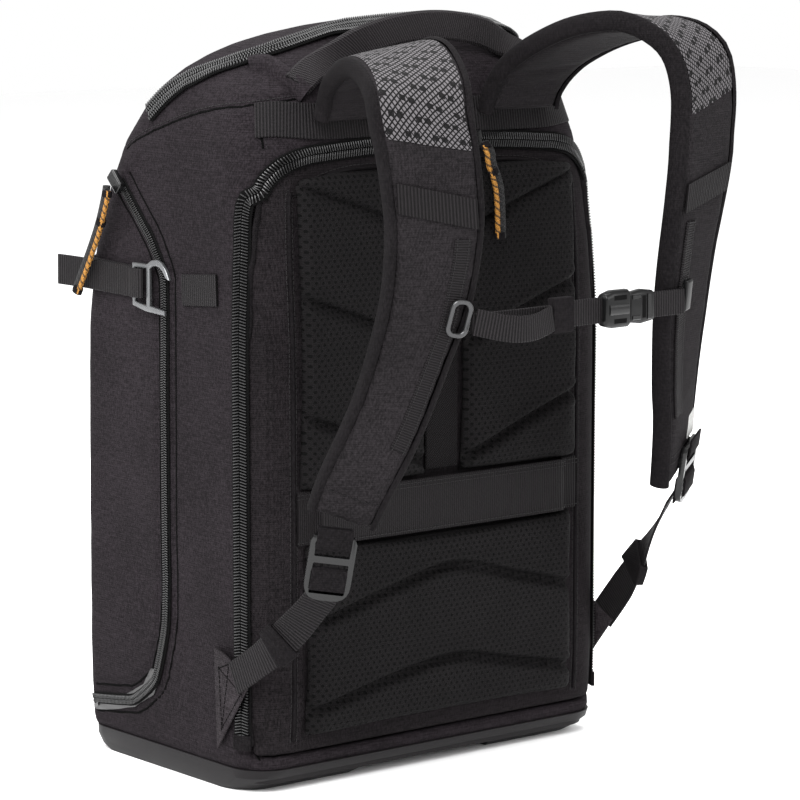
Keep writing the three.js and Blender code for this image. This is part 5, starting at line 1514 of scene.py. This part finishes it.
@dataclass
class Hardware:
    """Locks, loops, wings, ring, buckle, hook, sliders, tag and tray."""

    def build(self, kit: Finishes) -> None:
        """Round and finish each one."""
        for side in ("left", "right"):
            Bench.carry(f"ladder_lock_{side}", f"ladder_lock_frame_{side}", kit.lock, "plastic", 1.1, 3)
            Bench.carry(f"strap_end_webbing_{side}", f"strap_end_loop_{side}", kit.binding, "webbing")
            Bench.carry(f"lock_wrap_{side}", f"lock_wrap_loop_{side}", kit.binding, "webbing")
            Bench.carry(f"wing_anchor_{side}", f"wing_cloth_{side}", kit.wing, "cloth", 0.5)
            Bench.carry(f"webbing_keeper_{side}", f"webbing_keeper_fold_{side}", kit.binding, "webbing", 0.8)
        Bench.carry("sternum_ring", "sternum_ring_wire", kit.steel, "metal", 1.2, 3)
        Bench.carry("sternum_slider", "sternum_slider_clip", kit.plastic, "plastic", 1.0, 3)
        Bench.carry("sternum_keeper", "sternum_keeper_fold", kit.binding, "webbing", 1.2, 3)
        Bench.carry("sternum_buckle_socket", "buckle_socket", kit.plastic, "plastic", 1.4, 3)
        Bench.carry("sternum_buckle_plug", "buckle_plug", kit.plastic, "plastic", 1.4, 3)
        self.buckle(kit)
        Bench.carry("compression_hook", "compression_hook_wire", kit.metal, "metal", 1.2, 3)
        Bench.carry("side_zip_slider", "side_zip_slider_body", kit.lock, "plastic", 1.0, 3)
        Bench.carry("main_zip_slider", "main_zip_slider_body", kit.lock, "plastic", 1.0, 3)
        Bench.carry("strap_tag", "blank_tag", kit.tag, "tag_cloth", 0.3)
        Bench.carry("base_tray", "base_tray_moulding", kit.tray, "moulded", 1.2, 3)

    @staticmethod
    def buckle(kit: Finishes) -> None:
        """The side-release buckle's windows, drawn as near-black painted shade, its spine and its bar."""
        start, end = Route.of("sternum_webbing_middle").points[-1], Route.of("sternum_webbing_right").points[0]
        ahead = (end - start).normalized()
        out = Vector((0, -1, 0))
        up = ahead.cross(out).normalized()

        def lay(first: float, last: float, aside: float, rise: float) -> Route:
            """A line along the buckle, in millimetres from the socket's mouth."""
            reach = [start + ahead * ((first + (last - first) * k / 8) * MM) + up * aside * MM + out * rise * MM
                     for k in range(9)]
            return Route(reach, [out] * 9)

        # Near-black strips in the buckle's windows: painted shade seen through the openings.
        window_shades = [Tailor.band(lay(7, 18, side * 7.6, 4.75), 3.4, 0.7, 0.3) for side in (-1, 1)]
        window_shades.append(Tailor.band(lay(33, 36, 0.0, 3.8), 15.0, 0.7, 0.3))
        Bench.dress(Bench.join(window_shades), "buckle_window_shade", kit.gap, "plastic")
        ridges = [Tailor.band(lay(3, 20, 0.0, 5.0), 7.0, 1.4, 0.6, 0.3),
                  Tailor.band(lay(24, 31, 6.8, 4.1), 3.0, 1.2, 0.5), Tailor.band(lay(24, 31, -6.8, 4.1), 3.0, 1.2, 0.5),
                  Tailor.band(lay(37.5, 40.5, 0.0, 3.9), 17.0, 1.4, 0.6)]
        Bench.dress(Bench.join(ridges), "buckle_ridges", kit.lock, "plastic")


@dataclass
class Studio:
    """Pale floor and soft light: each lamp's name, place and size in metres, and power in watts."""

    floor: Colour = (0.95, 0.95, 0.95)
    lamps: tuple[tuple[str, tuple[float, float, float], float, float], ...] = (
        ("key", (-1.9, -1.2, 2.3), 1.6, 150.0), ("fill", (1.2, -2.6, 1.5), 1.8, 60.0),
        ("top", (0.2, 0.6, 2.8), 2.0, 110.0), ("rim", (-2.2, 1.6, 1.4), 1.4, 50.0))

    def build(self) -> None:
        """Lay the floor and hang the lights."""
        Bench.clear()
        bpy.ops.mesh.primitive_plane_add(size=14.0)
        floor = bpy.context.object
        floor.name = "studio_floor"
        dyer = Dyer("studio_floor")
        place, *_ = dyer.places()
        floor.data.materials.append(dyer.finish(dyer.blend(dyer.grain(place, 3.0), self.floor, self.floor), 0.7))
        bpy.context.scene.view_settings.view_transform = "Standard"
        world = bpy.data.worlds.new("studio")
        bpy.context.scene.world = world
        world.use_nodes = True
        sockets = world.node_tree.nodes["Background"].inputs
        sockets["Color"].default_value = (1.0, 1.0, 1.0, 1.0)
        sockets["Strength"].default_value = 1.0
        for name, place, size, power in self.lamps:
            data = bpy.data.lights.new(name, "AREA")
            data.energy, data.size = power, size
            lamp = bpy.data.objects.new(name, data)
            bpy.context.scene.collection.objects.link(lamp)
            lamp.location = place
            lamp.rotation_euler = (Vector((0, 0, 0.25)) - Vector(place)).to_track_quat("-Z", "Y").to_euler()


def main() -> None:
    """Build the pack over its frame."""
    logging.basicConfig(level=logging.INFO, format="%(message)s")
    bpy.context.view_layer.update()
    sight = Sight()
    sight.build()
    kit = Finishes()
    body = Body().build(kit, sight)
    Door().build(kit)
    Zip("main_zip", 13.0, 4.5, 2.0).build(kit)
    Zip("side_zip", 8.4, 2.7, 1.7, 1.6).build(kit)
    Zip("lid_zip", 16.6, 3.2, 1.9, 1.7, (-3.9, 3.9)).build(kit)
    Pads().build(kit)
    for side in ("left", "right"):
        Strap(side).build(kit)
    Ribbons().build(kit)
    Hardware().build(kit)
    Trim().build(kit, sight, body)
    Pulls().build(kit)
    Studio().build()
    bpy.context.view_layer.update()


if __name__ == "__main__":
    main()
